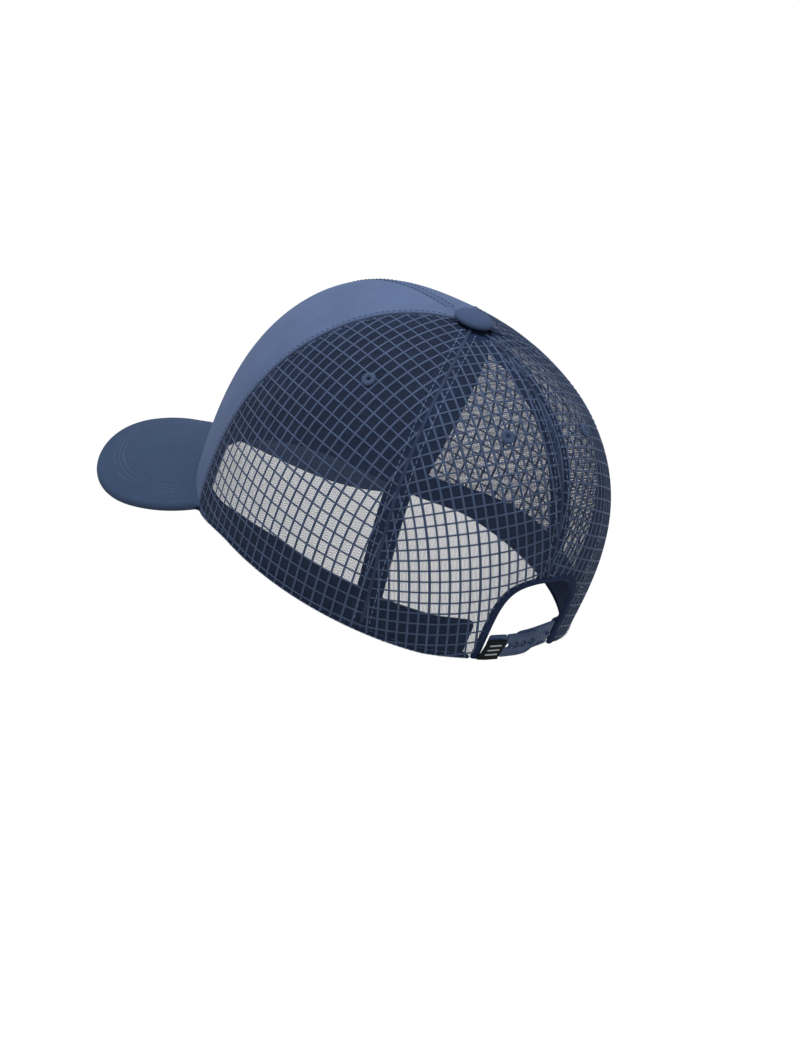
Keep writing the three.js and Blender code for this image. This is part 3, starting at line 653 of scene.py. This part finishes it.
def mesh_panel(place, side, low, high, lean, pitch, phase):
    gore = Gore(*sorted((low, high)), lean)
    most = math.ceil(gore.REACH / pitch[0])
    us = (np.arange(-most, most) + phase[0]) * pitch[0]
    lowest, highest = math.ceil(gore.BELOW / pitch[1]), math.floor(gore.ABOVE / pitch[1])
    vs = (np.arange(1 - lowest, highest) + phase[1]) * pitch[1]
    fine_v = np.arange(-gore.BELOW, gore.ABOVE, 0.5)
    fine_u = np.arange(-gore.REACH, gore.REACH, 0.4)
    thick = []
    for vertical, fixed, moving, width, depth in (
        (True, us, fine_v, UPRIGHT_YARN, UPRIGHT_DEPTH),
        (False, vs, fine_u, LEVEL_YARN, LEVEL_DEPTH),
    ):
        p, n = gore.place(*runs(gore, fixed, moving, vertical, 80), depth)
        thick.append(tubes(p, n, width, YARN_HEIGHT))
    grid = add(f"{place}_{side}_grid", joined(thick), NET_YARN)

    fine = us[0] + np.arange(int((us[-1] - us[0]) / FINE_PITCH_U) + 1) * FINE_PITCH_U
    p, n = gore.place(*runs(gore, fine, fine_v, True, 70), FINE_DEPTH)
    bars = tubes(p, n, BAR_WIDTH, FINE_THICK, 4, caps=False)
    rows = np.arange(-gore.BELOW, gore.ABOVE, FINE_PITCH_V)
    u, v = np.meshgrid(fine[:-1], rows, indexing="ij")
    v = v + (np.arange(len(fine) - 1) % 2)[:, None] * FINE_PITCH_V / 2
    ok = gore.inside(u, v) & gore.inside(u + FINE_PITCH_U, v)
    u, v = u[ok], v[ok]
    p, n = gore.place(np.stack([u, u + FINE_PITCH_U], -1), np.stack([v, v + LINK_RISE], -1), FINE_DEPTH)
    links = tubes(p, n, LINK_WIDTH, FINE_THICK, 4, caps=False)
    net = add(f"{place}_{side}_fine_net", joined([bars, links]), FINE_YARN,
              node=f"{place}_mesh_{side}")


# ---- tapes, sweatband, hem and binding ----

NEAR_NET, BEHIND_PANEL, BEHIND_BACKING = -0.65, -1.7, -2.2
TAPE_WIDTH, TAPE_THICK, TAPE_RISES = 13.0, 1.0, np.linspace(0.02, 0.955, 90)


def tape(name, node, degrees, rises, depths=(NEAR_NET, NEAR_NET)):
    """A folded seam tape behind a seam, thicker along its turned edges; depths are its two sides'."""
    x = np.linspace(-1, 1, 21)[:, None]
    climb = arc(crown(seam_angle(degrees, rises), rises), 0)[None] + 0 * x
    rise = rises[None] + 0 * x
    angle = beside_seam(degrees, x * TAPE_WIDTH / 2, rise)
    ridge = 0.22 * bell(np.abs(x), 0.86, 0.1)
    edge = -0.35 * climb_over(np.abs(x), (0.93, 1))
    depth = depths[0] + (depths[1] - depths[0]) * climb_over(x, (-0.1, 0.2)) + 0 * rise
    back = crown(angle, rise, depth - TAPE_THICK - ridge - edge)
    add(name, shell(crown(angle, rise, depth + edge), back), NAVY_CLOTH,
        node=node, uv=flat_uv(x * TAPE_WIDTH / 2 + 0 * climb, climb))


SWEATBAND_FRONT_HEIGHT, SWEATBAND_GROWS = 12.8, (70, 94)
SWEATBAND_FOOT, SWEATBAND_DEPTH, SWEATBAND_HALF_THICK = 1.2, -3.9, 0.62
SWEATBAND_CORNER, SWEATBAND_SEAM, SWEATBAND_FACES = 3.2, 2.2, ((-3.15, 1), (-4.6, -1))


def sweatband_top(degrees):
    """The band lies lower in front of the ears, where it is stretched."""
    taller = climb_over(np.abs(degrees), SWEATBAND_GROWS)
    return SWEATBAND_FRONT_HEIGHT + (SWEATBAND_HEIGHT - SWEATBAND_FRONT_HEIGHT) * taller


def sweatband():
    degrees = np.linspace(-SWEATBAND_END, SWEATBAND_END, 260)
    share = np.concatenate([np.linspace(0, 0.08, 7), np.linspace(0.1, 0.9, 26), np.linspace(0.92, 1, 7)])
    into_corner = np.maximum(SWEATBAND_CORNER - (SWEATBAND_END - np.abs(degrees)) * 0.75, 0)
    rounded = SWEATBAND_CORNER - np.sqrt(np.clip(SWEATBAND_CORNER ** 2 - into_corner ** 2, 0, None))
    top = (sweatband_top(degrees) - rounded)[:, None]
    h = SWEATBAND_FOOT + share[None] * (top - SWEATBAND_FOOT)
    d = degrees[:, None] + 0 * h
    groove = -0.18 * bell(top - h, SWEATBAND_SEAM, 0.4)
    roll = np.sqrt(np.clip(np.minimum(h - SWEATBAND_FOOT, top - h) / 0.6, 0.03, 1))
    swell = (SWEATBAND_HALF_THICK + groove) * roll
    wavy = SWEATBAND_DEPTH + 0.12 * np.sin(np.radians(d) * 31) * climb_over(h, (0, 15))
    piece = add("sweatband_cloth", shell(wall(d, h, wavy + swell), wall(d, h, wavy - swell)), NAVY_CLOTH,
                node="sweatband", uv=flat_uv(arc(wall(d, h), 0), h))
    middle = wall(d, h, SWEATBAND_DEPTH)
    arc(middle, 0).max()
    line = np.linspace(-SWEATBAND_END + 3, SWEATBAND_END - 3, 500)
    height = sweatband_top(line) - SWEATBAND_SEAM
    n = normal(np.radians(line), rise_at(line, height))
    rows = [stitches(wall(line, height, offset), n * face, SWEATBAND_STITCH)
            for offset, face in SWEATBAND_FACES]
    add("sweatband_stitches", joined(rows), DARK_THREAD)


HEM_MIDDLE, HEM_HALF_DEPTH, HEM_HALF_HEIGHT, HEM_SQUARENESS = -2.25, 2.35, 0.8, 0.7
HEM_END = BACK - ARCH_HALF - 4.8


def hem():
    """The crown's folded edge: a soft roll whose underside is flat where it rests."""
    degrees = np.linspace(-HEM_END, HEM_END, 300)
    turn = full_turn(16)
    ring = []
    for out, up in zip(bulge(np.cos(turn), HEM_SQUARENESS), bulge(np.sin(turn), HEM_SQUARENESS)):
        p = wall(degrees, 0.0, HEM_MIDDLE + HEM_HALF_DEPTH * out)
        foot = np.maximum(rim(np.radians(degrees)), rest_plane(p[:, 1]))
        p[:, 2] = foot + HEM_HALF_HEIGHT * (1 + up)
        ring.append(p)
    ring = np.stack(ring, 1)
    uv = np.stack(np.broadcast_arrays(degrees[:, None] * 1.5, turn[None] * 1.2), -1)
    add("hem_roll", (ring, bar_faces(ring)), NAVY_CLOTH, uv=uv, node="hem_band")
    line = np.linspace(-HEM_END + 1, HEM_END - 1, 700)
    # The edge row takes the near-white thread: real stitches whose colour also carries a painted highlight.
    for name, thread, height, offset in (
        ("hem_edge_stitches", EDGE_THREAD_PAINTED_HIGHLIGHT, 0.8, 0.42), ("hem_stitches", BLUE_THREAD, 3.4, 0.25),
    ):
        rows = []
        for part in (line[line < -FRONT_SEAM - 3], line[line > FRONT_SEAM + 3]):
            n = normal(np.radians(part), rise_at(part, height))
            rows.append(stitches(wall(part, height, offset), n, HEM_STITCH))
        add(name, joined(rows), thread)


def arch_point(turn, grow, offset):
    """A point round the arched opening: grow is 0 at its inner edge and 1 at the binding's outer edge."""
    half = ARCH_HALF + BINDING_ANGLE * grow
    height = ARCH_HEIGHT + BINDING_WIDTH * grow
    across = bulge(np.sin(turn), 2 / ARCH_POWER)
    up = np.maximum(np.cos(turn), 0) ** (2 / ARCH_POWER)
    return wall(BACK + half * across, np.maximum(height * up, 0.5), offset)


BINDING_MIDDLE, BINDING_HALF_THICK, BINDING_SQUARENESS = -0.75, 1.15, 0.75


def arch_binding():
    turn = np.linspace(-1, 1, 141) * pi / 2
    sides = 14
    t = full_turn(sides)
    grow = 0.5 + 0.5 * bulge(np.cos(t), BINDING_SQUARENESS)
    out = BINDING_MIDDLE + BINDING_HALF_THICK * bulge(np.sin(t), BINDING_SQUARENESS)
    ring = np.stack([arch_point(turn, g, o) for g, o in zip(grow, out)], 1)
    uv = np.stack(np.broadcast_arrays(arc(ring[:, 0], 0)[:, None], np.arange(sides)[None] * 0.7), -1)
    add("arch_binding_tape", (ring, bar_faces(ring)), NAVY_CLOTH, uv=uv,
        node="arch_binding")
    fine = np.linspace(-pi / 2 + 0.02, pi / 2 - 0.02, 600)
    p = arch_point(fine, 0.78, 0.35)
    n = unit(p - arch_point(fine, 0.78, -0.65))
    add("arch_stitches", stitches(p, n, ARCH_STITCH), DARK_THREAD)


# ---- visor ----

def visor_top(x, y):
    """Height of the visor's middle layer: in front of the rim it falls away more steeply."""
    a = np.radians(np.linspace(0, SIDE_RIM_START, 400))
    forward = np.maximum(np.interp(np.abs(x), *plan(a)) - y, 0)
    return visor_height(x, y) + VISOR_LIFT - VISOR_DIP * forward


def visor_normal(x, y):
    step = 0.5
    slope_x = (visor_top(x + step, y) - visor_top(x - step, y)) / (2 * step)
    slope_y = (visor_top(x, y + step) - visor_top(x, y - step)) / (2 * step)
    return unit(np.stack([-slope_x, -slope_y, 0 * slope_x + 1.0], -1))


def visor_surface(x, y, offset):
    return np.stack([x, y, visor_top(x, y)], -1) + visor_normal(x, y) * np.asarray(offset)[..., None]


def visor_edge(across):
    turn, power = np.radians(90 - across * VISOR_WRAP), 2 / VISOR_OUTLINE_POWER
    return (VISOR_HALF_WIDTH * bulge(np.cos(turn), power),
            VISOR_CENTRE_Y - VISOR_REACH * bulge(np.sin(turn), power))


VISOR_ROWS = (8.0, 9.9, 11.8)
VISOR_ROOT_END, VISOR_ROOT_DEPTH = 64.5, -2.4
VISOR_ROLL, COVER_THICK, COVER_INNER, EDGE_GAP = 2.0, 1.85, 0.95, 0.06
ROW_DEPTH, ROW_WIDTH, EDGE_CREST = 0.16, 0.5, (0.15, 1.8, 1.2)
VISOR_THREAD_LIFT, VISOR_THREAD_END = 2.02, 74
STIFFENER_INSET, STIFFENER_HALF_THICK = 0.045, 0.7


def visor_grid(inset=0.0):
    """Places on the visor, from inside the crown's wall to its edge, and how near the edge they are."""
    across = np.linspace(-1 + inset, 1 - inset, 220)[:, None]
    root = wall(across[:, 0] * VISOR_ROOT_END, 0.0, VISOR_ROOT_DEPTH)
    out = (1 - inset) * (1 - (1 - np.linspace(0, 1, 110)) ** 1.25)[None]
    ex, ey = visor_edge(across)
    x = root[:, 0:1] * (1 - out) + ex * out
    y = root[:, 1:2] * (1 - out) + ey * out
    bx, by = visor_edge(np.linspace(-1, 1, 500))
    near = np.full(x.shape, 1e9)
    for ax, ay, dx, dy in zip(bx, by, np.diff(bx), np.diff(by)):
        along = np.clip(((x - ax) * dx + (y - ay) * dy) / (dx * dx + dy * dy), 0, 1)
        near = np.minimum(near, np.hypot(x - ax - along * dx, y - ay - along * dy))
    return x, y, near


def visor_cover(side, top, bottom, uv):
    add(f"visor_{side}_cloth", shell(top, bottom), VISOR_CLOTH, uv=uv,
        node=f"visor_{side}_cover")


def visor():
    x, y, near = visor_grid()
    groove = relief(near, [(-ROW_DEPTH, row, ROW_WIDTH) for row in VISOR_ROWS])
    inward = np.clip(near / VISOR_ROLL, 0, 1)
    roll = np.sqrt(inward * (2 - inward))
    uv = flat_uv(x, y)
    crest = COVER_THICK + 0.05 + relief(near, [EDGE_CREST])
    visor_cover("top", visor_surface(x, y, 0.1 + crest * roll + groove),
                visor_surface(x, y, COVER_INNER * roll - EDGE_GAP), uv)
    visor_cover("under", visor_surface(x, y, EDGE_GAP - COVER_INNER * roll),
                visor_surface(x, y, -0.1 - COVER_THICK * roll - groove), uv)


def visor_stitches():
    ex, ey = visor_edge(np.linspace(-1, 1, 900))
    tx, ty = np.gradient(ex), np.gradient(ey)
    size = np.hypot(tx, ty)
    rim_line = wall(np.linspace(-FRONT_SEAM - 6, FRONT_SEAM + 6, 200), 0.0, VISOR_ROOT_GAP)
    rows = []
    for distance in VISOR_ROWS:
        x, y = ex - distance * ty / size, ey + distance * tx / size
        ok = (y < np.interp(x, rim_line[:, 0], rim_line[:, 1])) & (np.abs(x) < VISOR_THREAD_END)
        x, y = x[ok], y[ok]
        for face in (1, -1):
            p = visor_surface(x, y, face * VISOR_THREAD_LIFT + 0 * x)
            rows.append(stitches(p, visor_normal(x, y) * face, VISOR_STITCH))
    add("visor_stitches", joined(rows), VISOR_THREAD)


def visor_stiffener():
    x, y, near = visor_grid(STIFFENER_INSET)
    thick = STIFFENER_HALF_THICK * np.sqrt(np.clip(near / 4.0, 0.05, 1))
    board = shell(visor_surface(x, y, thick), visor_surface(x, y, -thick))
    add("visor_stiffener", board, BOARD, node="visor_board")


# ---- button, rivet and eyelets ----

BUTTON_RADIUS, BUTTON_MIDDLE, BUTTON_UP, BUTTON_DOWN, BUTTON_SIDES = 9.6, 2.55, 3.1, 2.4, 72
GATHERS, GATHER_DEPTH = 18, 0.1
PATCH_PROFILE = ((0.02, -1.0), (6.0, -1.15), (9.6, -1.7), (10.2, -2.2), (9.6, -2.5), (6.0, -2.1),
                 (0.02, -1.9))
RIVET_PROFILE = ((0.02, -4.6), (6.0, -4.6), (6.5, -4.4), (6.5, -4.0), (6.0, -3.8), (1.7, -3.7), (1.6, -0.1),
                 (0.02, -0.1))

def button():
    turn = np.linspace(0, 1, 26)
    swing = np.cos(turn * pi)
    r = BUTTON_RADIUS * np.sin(turn * pi) ** 0.62
    over = BUTTON_UP * np.abs(swing) ** 1.1
    h = BUTTON_MIDDLE + np.where(turn > 0.5, over, -BUTTON_DOWN * swing)
    summit = np.array((0.0, APEX_Y, CROWN_HEIGHT))
    apex, up = summit - (0, 0, 0.4), (0.0, 0.0, 1.0)
    verts, faces = lathe(np.stack([np.maximum(r, 0.02), h], -1), apex, up, BUTTON_SIDES)
    v = verts.reshape(len(turn), BUTTON_SIDES, 3)
    around = np.cos(full_turn(BUTTON_SIDES) * GATHERS)
    gather = GATHER_DEPTH * around * (1 - turn)[:, None] ** 0.5 * np.sin(turn * pi)[:, None]
    v[..., :2] += (v[..., :2] - apex[:2]) * gather[..., None] / 9
    add("button_cloth_dome", (v, faces), BUTTON_CLOTH, node="top_button")
    add("apex_patch", lathe(PATCH_PROFILE, summit, up, 60), BACKING_CLOTH)
    rivet = lathe(RIVET_PROFILE, summit, up, 40)
    add("button_backplate", rivet, RIVET_METAL, node="button_rivet")


EYELET_ANGLES = {"side": 91.5, "back": 142.0}
EYELET_RISE, EYELET_RADIUS, EYELET_WIDTH, EYELET_HEIGHT, EYELET_LIFT = 0.58, 2.15, 1.35, 0.9, 0.35


def eyelet(name, degrees):
    """An embroidered eyelet: a ring of close radial threads round a small hole."""
    a = np.radians(degrees)
    origin, up = surface(a, EYELET_RISE), normal(a, EYELET_RISE)
    side = unit(np.cross(up, (0.0, 0.0, 1.0)))
    other = np.cross(up, side)
    around = full_turn(216)[:, None]
    turn = full_turn(14)[None]
    thread = 1 + 0.09 * np.abs(np.sin(around * 18))
    r = EYELET_RADIUS + EYELET_WIDTH * np.cos(turn) * thread
    h = EYELET_LIFT + EYELET_HEIGHT * np.sin(turn) * thread
    v = (origin + (np.cos(around) * r)[..., None] * side + (np.sin(around) * r)[..., None] * other
         + h[..., None] * up)
    faces = [grid_faces(216, 14, wrap_n=True, wrap_m=True)]
    add(f"{name}_embroidery", (v, faces), EYELET_THREAD, node=name)


# ---- snap strap and label ----

OUTER_SPAN, INNER_SPAN = (165.2, 194.6), (205.2, 172.0)
OUTER_LAYER, INNER_LAYER = (-0.2, 1.0), (-1.7, -0.5)
SNAP_PITCH, FIRST_SNAP, HOLE_COUNT, PEG_COUNT, PEGS_IN_HOLES = 5.1, 4.1, 4, 5, 3
HOLE_RADIUS, PEG_TOP, BORDER_INSET = 1.5, 0.8, 1.3
STRAP_MIDDLE = STRAP_BOTTOM + STRAP_WIDTH / 2


def strap_length(span, offset):
    return arc(level(np.linspace(*span, 25), STRAP_MIDDLE, offset), 0)[-1]


def strap_point(span, length, x, y, offset):
    degrees = span[0] + (span[1] - span[0]) * np.asarray(x, float) / length
    return level(degrees, STRAP_MIDDLE + np.asarray(y, float), offset)


def outline(length, half, inset=0.0):
    """A strap's outline: square at its root and round at its tip."""
    straight = np.arange(inset, length - half, 0.7)
    turn = np.linspace(-pi / 2, pi / 2, 25)
    low = np.stack([straight, 0 * straight - half + inset], -1)
    r = half - inset
    cap = np.stack([length - half + r * np.cos(turn), r * np.sin(turn)], -1)
    high = np.stack([straight[::-1], 0 * straight + half - inset], -1)
    return np.concatenate([low, cap, high])


def anchor_outline(length, half, corner=1.2):
    """An anchor's outline: square, with rounded corners."""
    points = []
    far = length - corner
    for start, cx, cy in ((-90, far, -1), (0, far, 1), (90, corner, 1), (180, corner, -1)):
        for t in np.radians(np.linspace(start, start + 90, 6)):
            points.append((cx + corner * math.cos(t), cy * (half - corner) + corner * math.sin(t)))
    return np.array(points)


def plate(rings, thickness, bevel=0.22):
    """A flat plate with rounded edges, cut from outline rings in the XY plane."""
    curve = bpy.data.curves.new("plate", "CURVE")
    curve.dimensions, curve.fill_mode = "2D", "BOTH"
    curve.extrude, curve.bevel_depth, curve.bevel_resolution = thickness / 2 - bevel, bevel, 2
    curve.offset = -bevel
    for ring in rings:
        spline = curve.splines.new("POLY")
        spline.points.add(len(ring) - 1)
        spline.points.foreach_set("co", np.pad(ring, ((0, 0), (0, 2))).ravel())
        spline.use_cyclic_u = True
    holder = new_object("plate", curve)
    made = bpy.data.meshes.new_from_object(holder.evaluated_get(bpy.context.evaluated_depsgraph_get()))
    bm = bmesh.new()
    bm.from_mesh(made)
    bmesh.ops.remove_doubles(bm, verts=bm.verts, dist=1e-3)
    bmesh.ops.recalc_face_normals(bm, faces=bm.faces)
    verts = np.array([v.co[:] for v in bm.verts])
    by_size = {}
    for face in bm.faces:
        by_size.setdefault(len(face.verts), []).append([v.index for v in face.verts])
    bm.free()
    bpy.data.objects.remove(holder)
    bpy.data.curves.remove(curve)
    bpy.data.meshes.remove(made)
    return verts, [np.array(f) for f in by_size.values()]


def circle(x, radius, n=28):
    t = -full_turn(n)
    return np.stack([x + radius * np.cos(t), radius * np.sin(t)], -1)


def strap_ridge(span, length, xy, offset, width, height):
    """A moulded ridge on a strap, following points in its own length and height."""
    p = strap_point(span, length, xy[:, 0], xy[:, 1], offset)
    n = unit(p - strap_point(span, length, xy[:, 0], xy[:, 1], offset - 1))
    return tubes(p[None], n[None], width, height, 8)


def bent_plate(span, length, rings, layer):
    verts, faces = plate(rings, layer[1] - layer[0])
    return strap_point(span, length, verts[:, 0], verts[:, 1], verts[:, 2] + sum(layer) / 2), faces


def snap_peg(span, length, x, base, top):
    foot = strap_point(span, length, x, 0.0, base)
    axis = strap_point(span, length, x, 0.0, base + 1) - foot
    high = top - base
    profile = ((0.02, 0), (0.95, 0), (0.85, high * 0.35), (1.0, high * 0.7), (0.95, high * 0.88),
               (0.7, high), (0.02, high))
    return lathe(profile, foot, axis, 24)


def outer_strap():
    face = OUTER_LAYER[1]
    length = strap_length(OUTER_SPAN, face)
    holes = [length - FIRST_SNAP - k * SNAP_PITCH for k in range(HOLE_COUNT)]
    rings = [outline(length, STRAP_WIDTH / 2)] + [circle(x, HOLE_RADIUS) for x in holes]
    parts = [bent_plate(OUTER_SPAN, length, rings, OUTER_LAYER)]
    border = outline(length, STRAP_WIDTH / 2, BORDER_INSET)
    parts.append(strap_ridge(OUTER_SPAN, length, border, face, 0.55, 0.4))
    for x in holes:
        rim_points = circle(x, HOLE_RADIUS + 0.45)
        rim_points = np.concatenate([rim_points, rim_points[:1]])
        parts.append(strap_ridge(OUTER_SPAN, length, rim_points, face, 0.5, 0.35))
    add("strap_outer_moulding", joined(parts), STRAP_PLASTIC, body="outer_strap",
        node="strap_left")


def inner_strap():
    face = INNER_LAYER[1]
    length, outer = strap_length(INNER_SPAN, face), strap_length(OUTER_SPAN, OUTER_LAYER[1])
    parts = [bent_plate(INNER_SPAN, length, [outline(length, STRAP_WIDTH / 2)], INNER_LAYER)]
    border = outline(length, STRAP_WIDTH / 2, BORDER_INSET)[:-20]
    parts.append(strap_ridge(INNER_SPAN, length, border, face, 0.5, 0.25))
    for k in range(PEG_COUNT):
        at = outer - FIRST_SNAP + (k - PEGS_IN_HOLES + 1) * SNAP_PITCH
        degrees = OUTER_SPAN[0] + (OUTER_SPAN[1] - OUTER_SPAN[0]) * at / outer
        x = (degrees - INNER_SPAN[0]) / (INNER_SPAN[1] - INNER_SPAN[0]) * length
        parts.append(snap_peg(INNER_SPAN, length, x, face - 0.1, PEG_TOP))
    add("strap_inner_moulding", joined(parts), STRAP_PLASTIC, body="inner_strap",
        node="strap_right")


def anchors():
    for name, node, span, layer, middle, tall in (
        ("strap_anchor_outer", "strap_anchor_left", (153.4, 164.6), OUTER_LAYER, STRAP_MIDDLE, STRAP_WIDTH),
        ("strap_anchor_inner", "strap_anchor_right", (206.8, 213.0), (-3.5, -2.4), 10.4, 9.6),
    ):
        length = strap_length(span, layer[1])
        verts, faces = plate([anchor_outline(length, tall / 2)], layer[1] - layer[0])
        degrees = span[0] + (span[1] - span[0]) * verts[:, 0] / length
        placed = level(degrees, middle + verts[:, 1], verts[:, 2] + sum(layer) / 2)
        add(name, (placed, faces), STRAP_PLASTIC, node=node)


LABEL_START, LABEL_TURN, LABEL_LEAN = 150.6, 12.2, 1.7
LABEL_BOTTOM, LABEL_RISE = 2.9, 11.3
LABEL_LENGTH, LABEL_WIDTH = 13, 11
LABEL_LIFT, LABEL_HALF_THICK = 1.75, 0.3
BAR_ROWS, BAR_ENDS, BAR_LIFT = (0.72, 0.5, 0.28), (0.2, 0.8), 2.1


def label_place(x, y, offset):
    """x from 0 to 1 along the tab and y from 0 to 1 up it; the tab leans a little."""
    wave_height = 0.15 * np.sin(x * 5 + y * 2)
    degrees = LABEL_START + LABEL_TURN * x + LABEL_LEAN * y
    return level(degrees, LABEL_BOTTOM + LABEL_RISE * y, offset + wave_height)


def label():
    x, y = np.linspace(0, 1, 40)[:, None], np.linspace(0, 1, 34)[None]
    edge = np.minimum(np.minimum(x, 1 - x) * LABEL_LENGTH, np.minimum(y, 1 - y) * LABEL_WIDTH)
    swell = LABEL_HALF_THICK * np.sqrt(np.clip(edge / 0.6, 0.02, 1)) + 0.08 * bell(edge, 1.0, 0.5)
    tab = shell(label_place(x, y, LABEL_LIFT + swell), label_place(x, y, LABEL_LIFT - swell))
    uv = flat_uv(x * LABEL_LENGTH + 0 * y, y * LABEL_WIDTH + 0 * x)
    add("label_cloth_tab", tab, LABEL_CLOTH, uv=uv, node="label_tab")
    bars = []
    for y in BAR_ROWS:
        x = np.linspace(*BAR_ENDS, 14)
        p = label_place(x, y, BAR_LIFT)
        n = unit(p - label_place(x, y, BAR_LIFT - 1))
        bars.append(tubes(p[None], n[None], 0.9, 0.14, 8))
    add("label_bars", joined(bars), LABEL_THREAD)


# ---- seam stitching ----

LOWEST_STITCH, SEAM_TOP, NET_TOP, FOLD_TOP = 0.02, 0.955, 0.94, 0.96
FOLD_WIDTH, FOLD_HEIGHT, FOLD_DEPTH = 1.9, 0.75, -0.22
# Rows of stitches: the seam that each follows and its distance from it.
FRONT_ROWS = ((0.0, 2.4), (0.0, -2.4), (FRONT_SEAM, -2.6), (-FRONT_SEAM, 2.6))
PANEL_EDGE_ROWS, NET_ROW = ((FRONT_SEAM, 2.2), (-FRONT_SEAM, -2.2)), 3.75


def seam_rises(degrees, gap, top, count):
    """Rises along a seam; the centre back seam starts at a gap above the arched opening."""
    low = float(rise_at(BACK, ARCH_HEIGHT + gap)) if degrees == BACK else LOWEST_STITCH
    return np.linspace(low, top, count)


def seam_stitches():
    blue, net, folds = [], [], []
    for degrees, distance in FRONT_ROWS:
        row = seam_row(degrees, distance, seam_rises(degrees, 0, SEAM_TOP, 500), 0.28)
        blue.append(stitches(*row, FRONT_STITCH))
    for degrees in (SIDE_SEAM, -SIDE_SEAM, BACK):
        for distance in (-NET_ROW, NET_ROW):
            row = seam_row(degrees, distance, seam_rises(degrees, 4, NET_TOP, 500), 0.05)
            net.append(stitches(*row, NET_STITCH))
    for degrees, distance in PANEL_EDGE_ROWS:
        row = seam_row(degrees, distance, seam_rises(degrees, 0, SEAM_TOP, 500), 0.1)
        net.append(stitches(*row, PANEL_EDGE_STITCH))
    for degrees in (SIDE_SEAM, -SIDE_SEAM, BACK, FRONT_SEAM, -FRONT_SEAM):
        p, n = seam_row(degrees, 0.0, seam_rises(degrees, 3, FOLD_TOP, 300), FOLD_DEPTH)
        folds.append(tubes(p[None], n[None], FOLD_WIDTH, FOLD_HEIGHT, 10))
    for name, parts, material, slot in (
        ("mesh_seam_folds", folds, FINE_YARN, "mesh"),
        ("front_seam_stitches", blue, DARK_THREAD, "thread"),
        ("mesh_seam_stitches", net, PALE_THREAD, "thread"),
    ):
        add(name, joined(parts), material)


# ---- stage, light and camera ----

FLOOR_HALF, FLOOR_GAP, FLOOR_GLOW = 6.0, 0.0005, 1.0
SKY_ABOVE, SKY_BELOW = 0.62, 0.27


def stage():
    corners = [(x * FLOOR_HALF, y * FLOOR_HALF, 0) for x, y in ((-1, -1), (1, -1), (1, 1), (-1, 1))]
    mesh = bpy.data.meshes.new("floor")
    mesh.from_pydata(corners, [], [(0, 1, 2, 3)])
    floor = new_object("floor", mesh)
    floor.location.z = -FLOOR_GAP
    m, nodes, links, shader = new_material("floor_paper", grey(0.03), 0.9, specular=0.0)
    where = nodes.new("ShaderNodeTexCoord").outputs["Object"]
    bump(nodes, links, shader, noise(nodes, links, where, 500), 0.03, 0.0002)
    shader.inputs["Emission Color"].default_value = grey(1.0)
    shader.inputs["Emission Strength"].default_value = FLOOR_GLOW
    mesh.materials.append(m)
    floor.visible_diffuse = False


def area_light(name, power, size, location, target):
    data = bpy.data.lights.new(name, "AREA")
    data.energy, data.size = power, size
    light = new_object(name, data)
    light.location = location
    light.rotation_mode = "QUATERNION"
    light.rotation_quaternion = (Vector(target) - Vector(location)).to_track_quat("-Z", "Y")


def lights():
    world = bpy.data.worlds.new("studio")
    bpy.context.scene.world = world
    world.use_nodes = True
    nodes, links = world.node_tree.nodes, world.node_tree.links
    where = nodes.new("ShaderNodeTexCoord").outputs["Generated"]
    split = nodes.new("ShaderNodeSeparateXYZ")
    links.new(where, split.inputs["Vector"])
    height = math_node(nodes, links, "MULTIPLY_ADD", split.outputs["Z"], 0.5)
    height.node.inputs[2].default_value = 0.5
    sky = ramp(nodes, links, height, grey(SKY_BELOW), grey(SKY_ABOVE), (0.1, 0.9))
    links.new(sky, nodes["Background"].inputs["Color"])
    area_light("key", 22, 1.4, (0.2, -0.4, 1.8), (0, 0, 0.05))
    area_light("fill", 6, 1.4, (1.5, 1.4, 1.0), (0, 0, 0.05))
    bpy.context.scene.view_settings.view_transform = "Standard"


CAMERA_AT = (1.37146, 1.34351, 0.64479)
CAMERA_AZIMUTH, CAMERA_ELEVATION, CAMERA_ROLL = 133.560, 17.905, 12.593
CAMERA_LENS = 143.917


def camera():
    data = bpy.data.cameras.new("camera")
    data.lens, data.sensor_width = CAMERA_LENS, 36.0
    data.clip_start, data.clip_end = 0.01, 50.0
    cam = new_object("camera", data)
    a, e, r = (math.radians(v) for v in (CAMERA_AZIMUTH, CAMERA_ELEVATION, CAMERA_ROLL))
    back = Vector((math.sin(a) * math.cos(e), -math.cos(a) * math.cos(e), math.sin(e)))
    right = Vector((math.cos(a), math.sin(a), 0))
    up = back.cross(right)
    right, up = math.cos(r) * right + math.sin(r) * up, math.cos(r) * up - math.sin(r) * right
    cam.matrix_world = Matrix.Translation(CAMERA_AT) @ Matrix((right, up, back)).transposed().to_4x4()
    bpy.context.scene.camera = cam


camera()
lights()
stage()
for side, sign in (("left", 1), ("right", -1)):
    front_panel(side, sign)
    backing(side, sign)
    mesh_panel("side", side, sign * FRONT_SEAM, sign * SIDE_SEAM, sign * SIDE_LEAN, SIDE_PITCH, SIDE_PHASE)
    mesh_panel("back", side, sign * SIDE_SEAM, sign * BACK, sign * BACK_LEAN, BACK_PITCH, BACK_PHASE)
    depths = (BEHIND_PANEL, NEAR_NET)[::sign]
    tape(f"front_tape_{side}", f"tape_front_{side}", sign * FRONT_SEAM, TAPE_RISES, depths)
    tape(f"side_tape_{side}", f"tape_side_{side}", sign * SIDE_SEAM, TAPE_RISES)
    for place, degrees in EYELET_ANGLES.items():
        eyelet(f"eyelet_{place}_{side}", sign * degrees)
tape("centre_front_tape", "tape_centre_front", 0.0, TAPE_RISES, (BEHIND_BACKING,) * 2)
tape("centre_back_tape", "tape_centre_back", BACK, seam_rises(BACK, 2.5, SEAM_TOP, 80))
sweatband()
hem()
arch_binding()
visor()
visor_stitches()
visor_stiffener()
button()
outer_strap()
inner_strap()
anchors()
label()
seam_stitches()
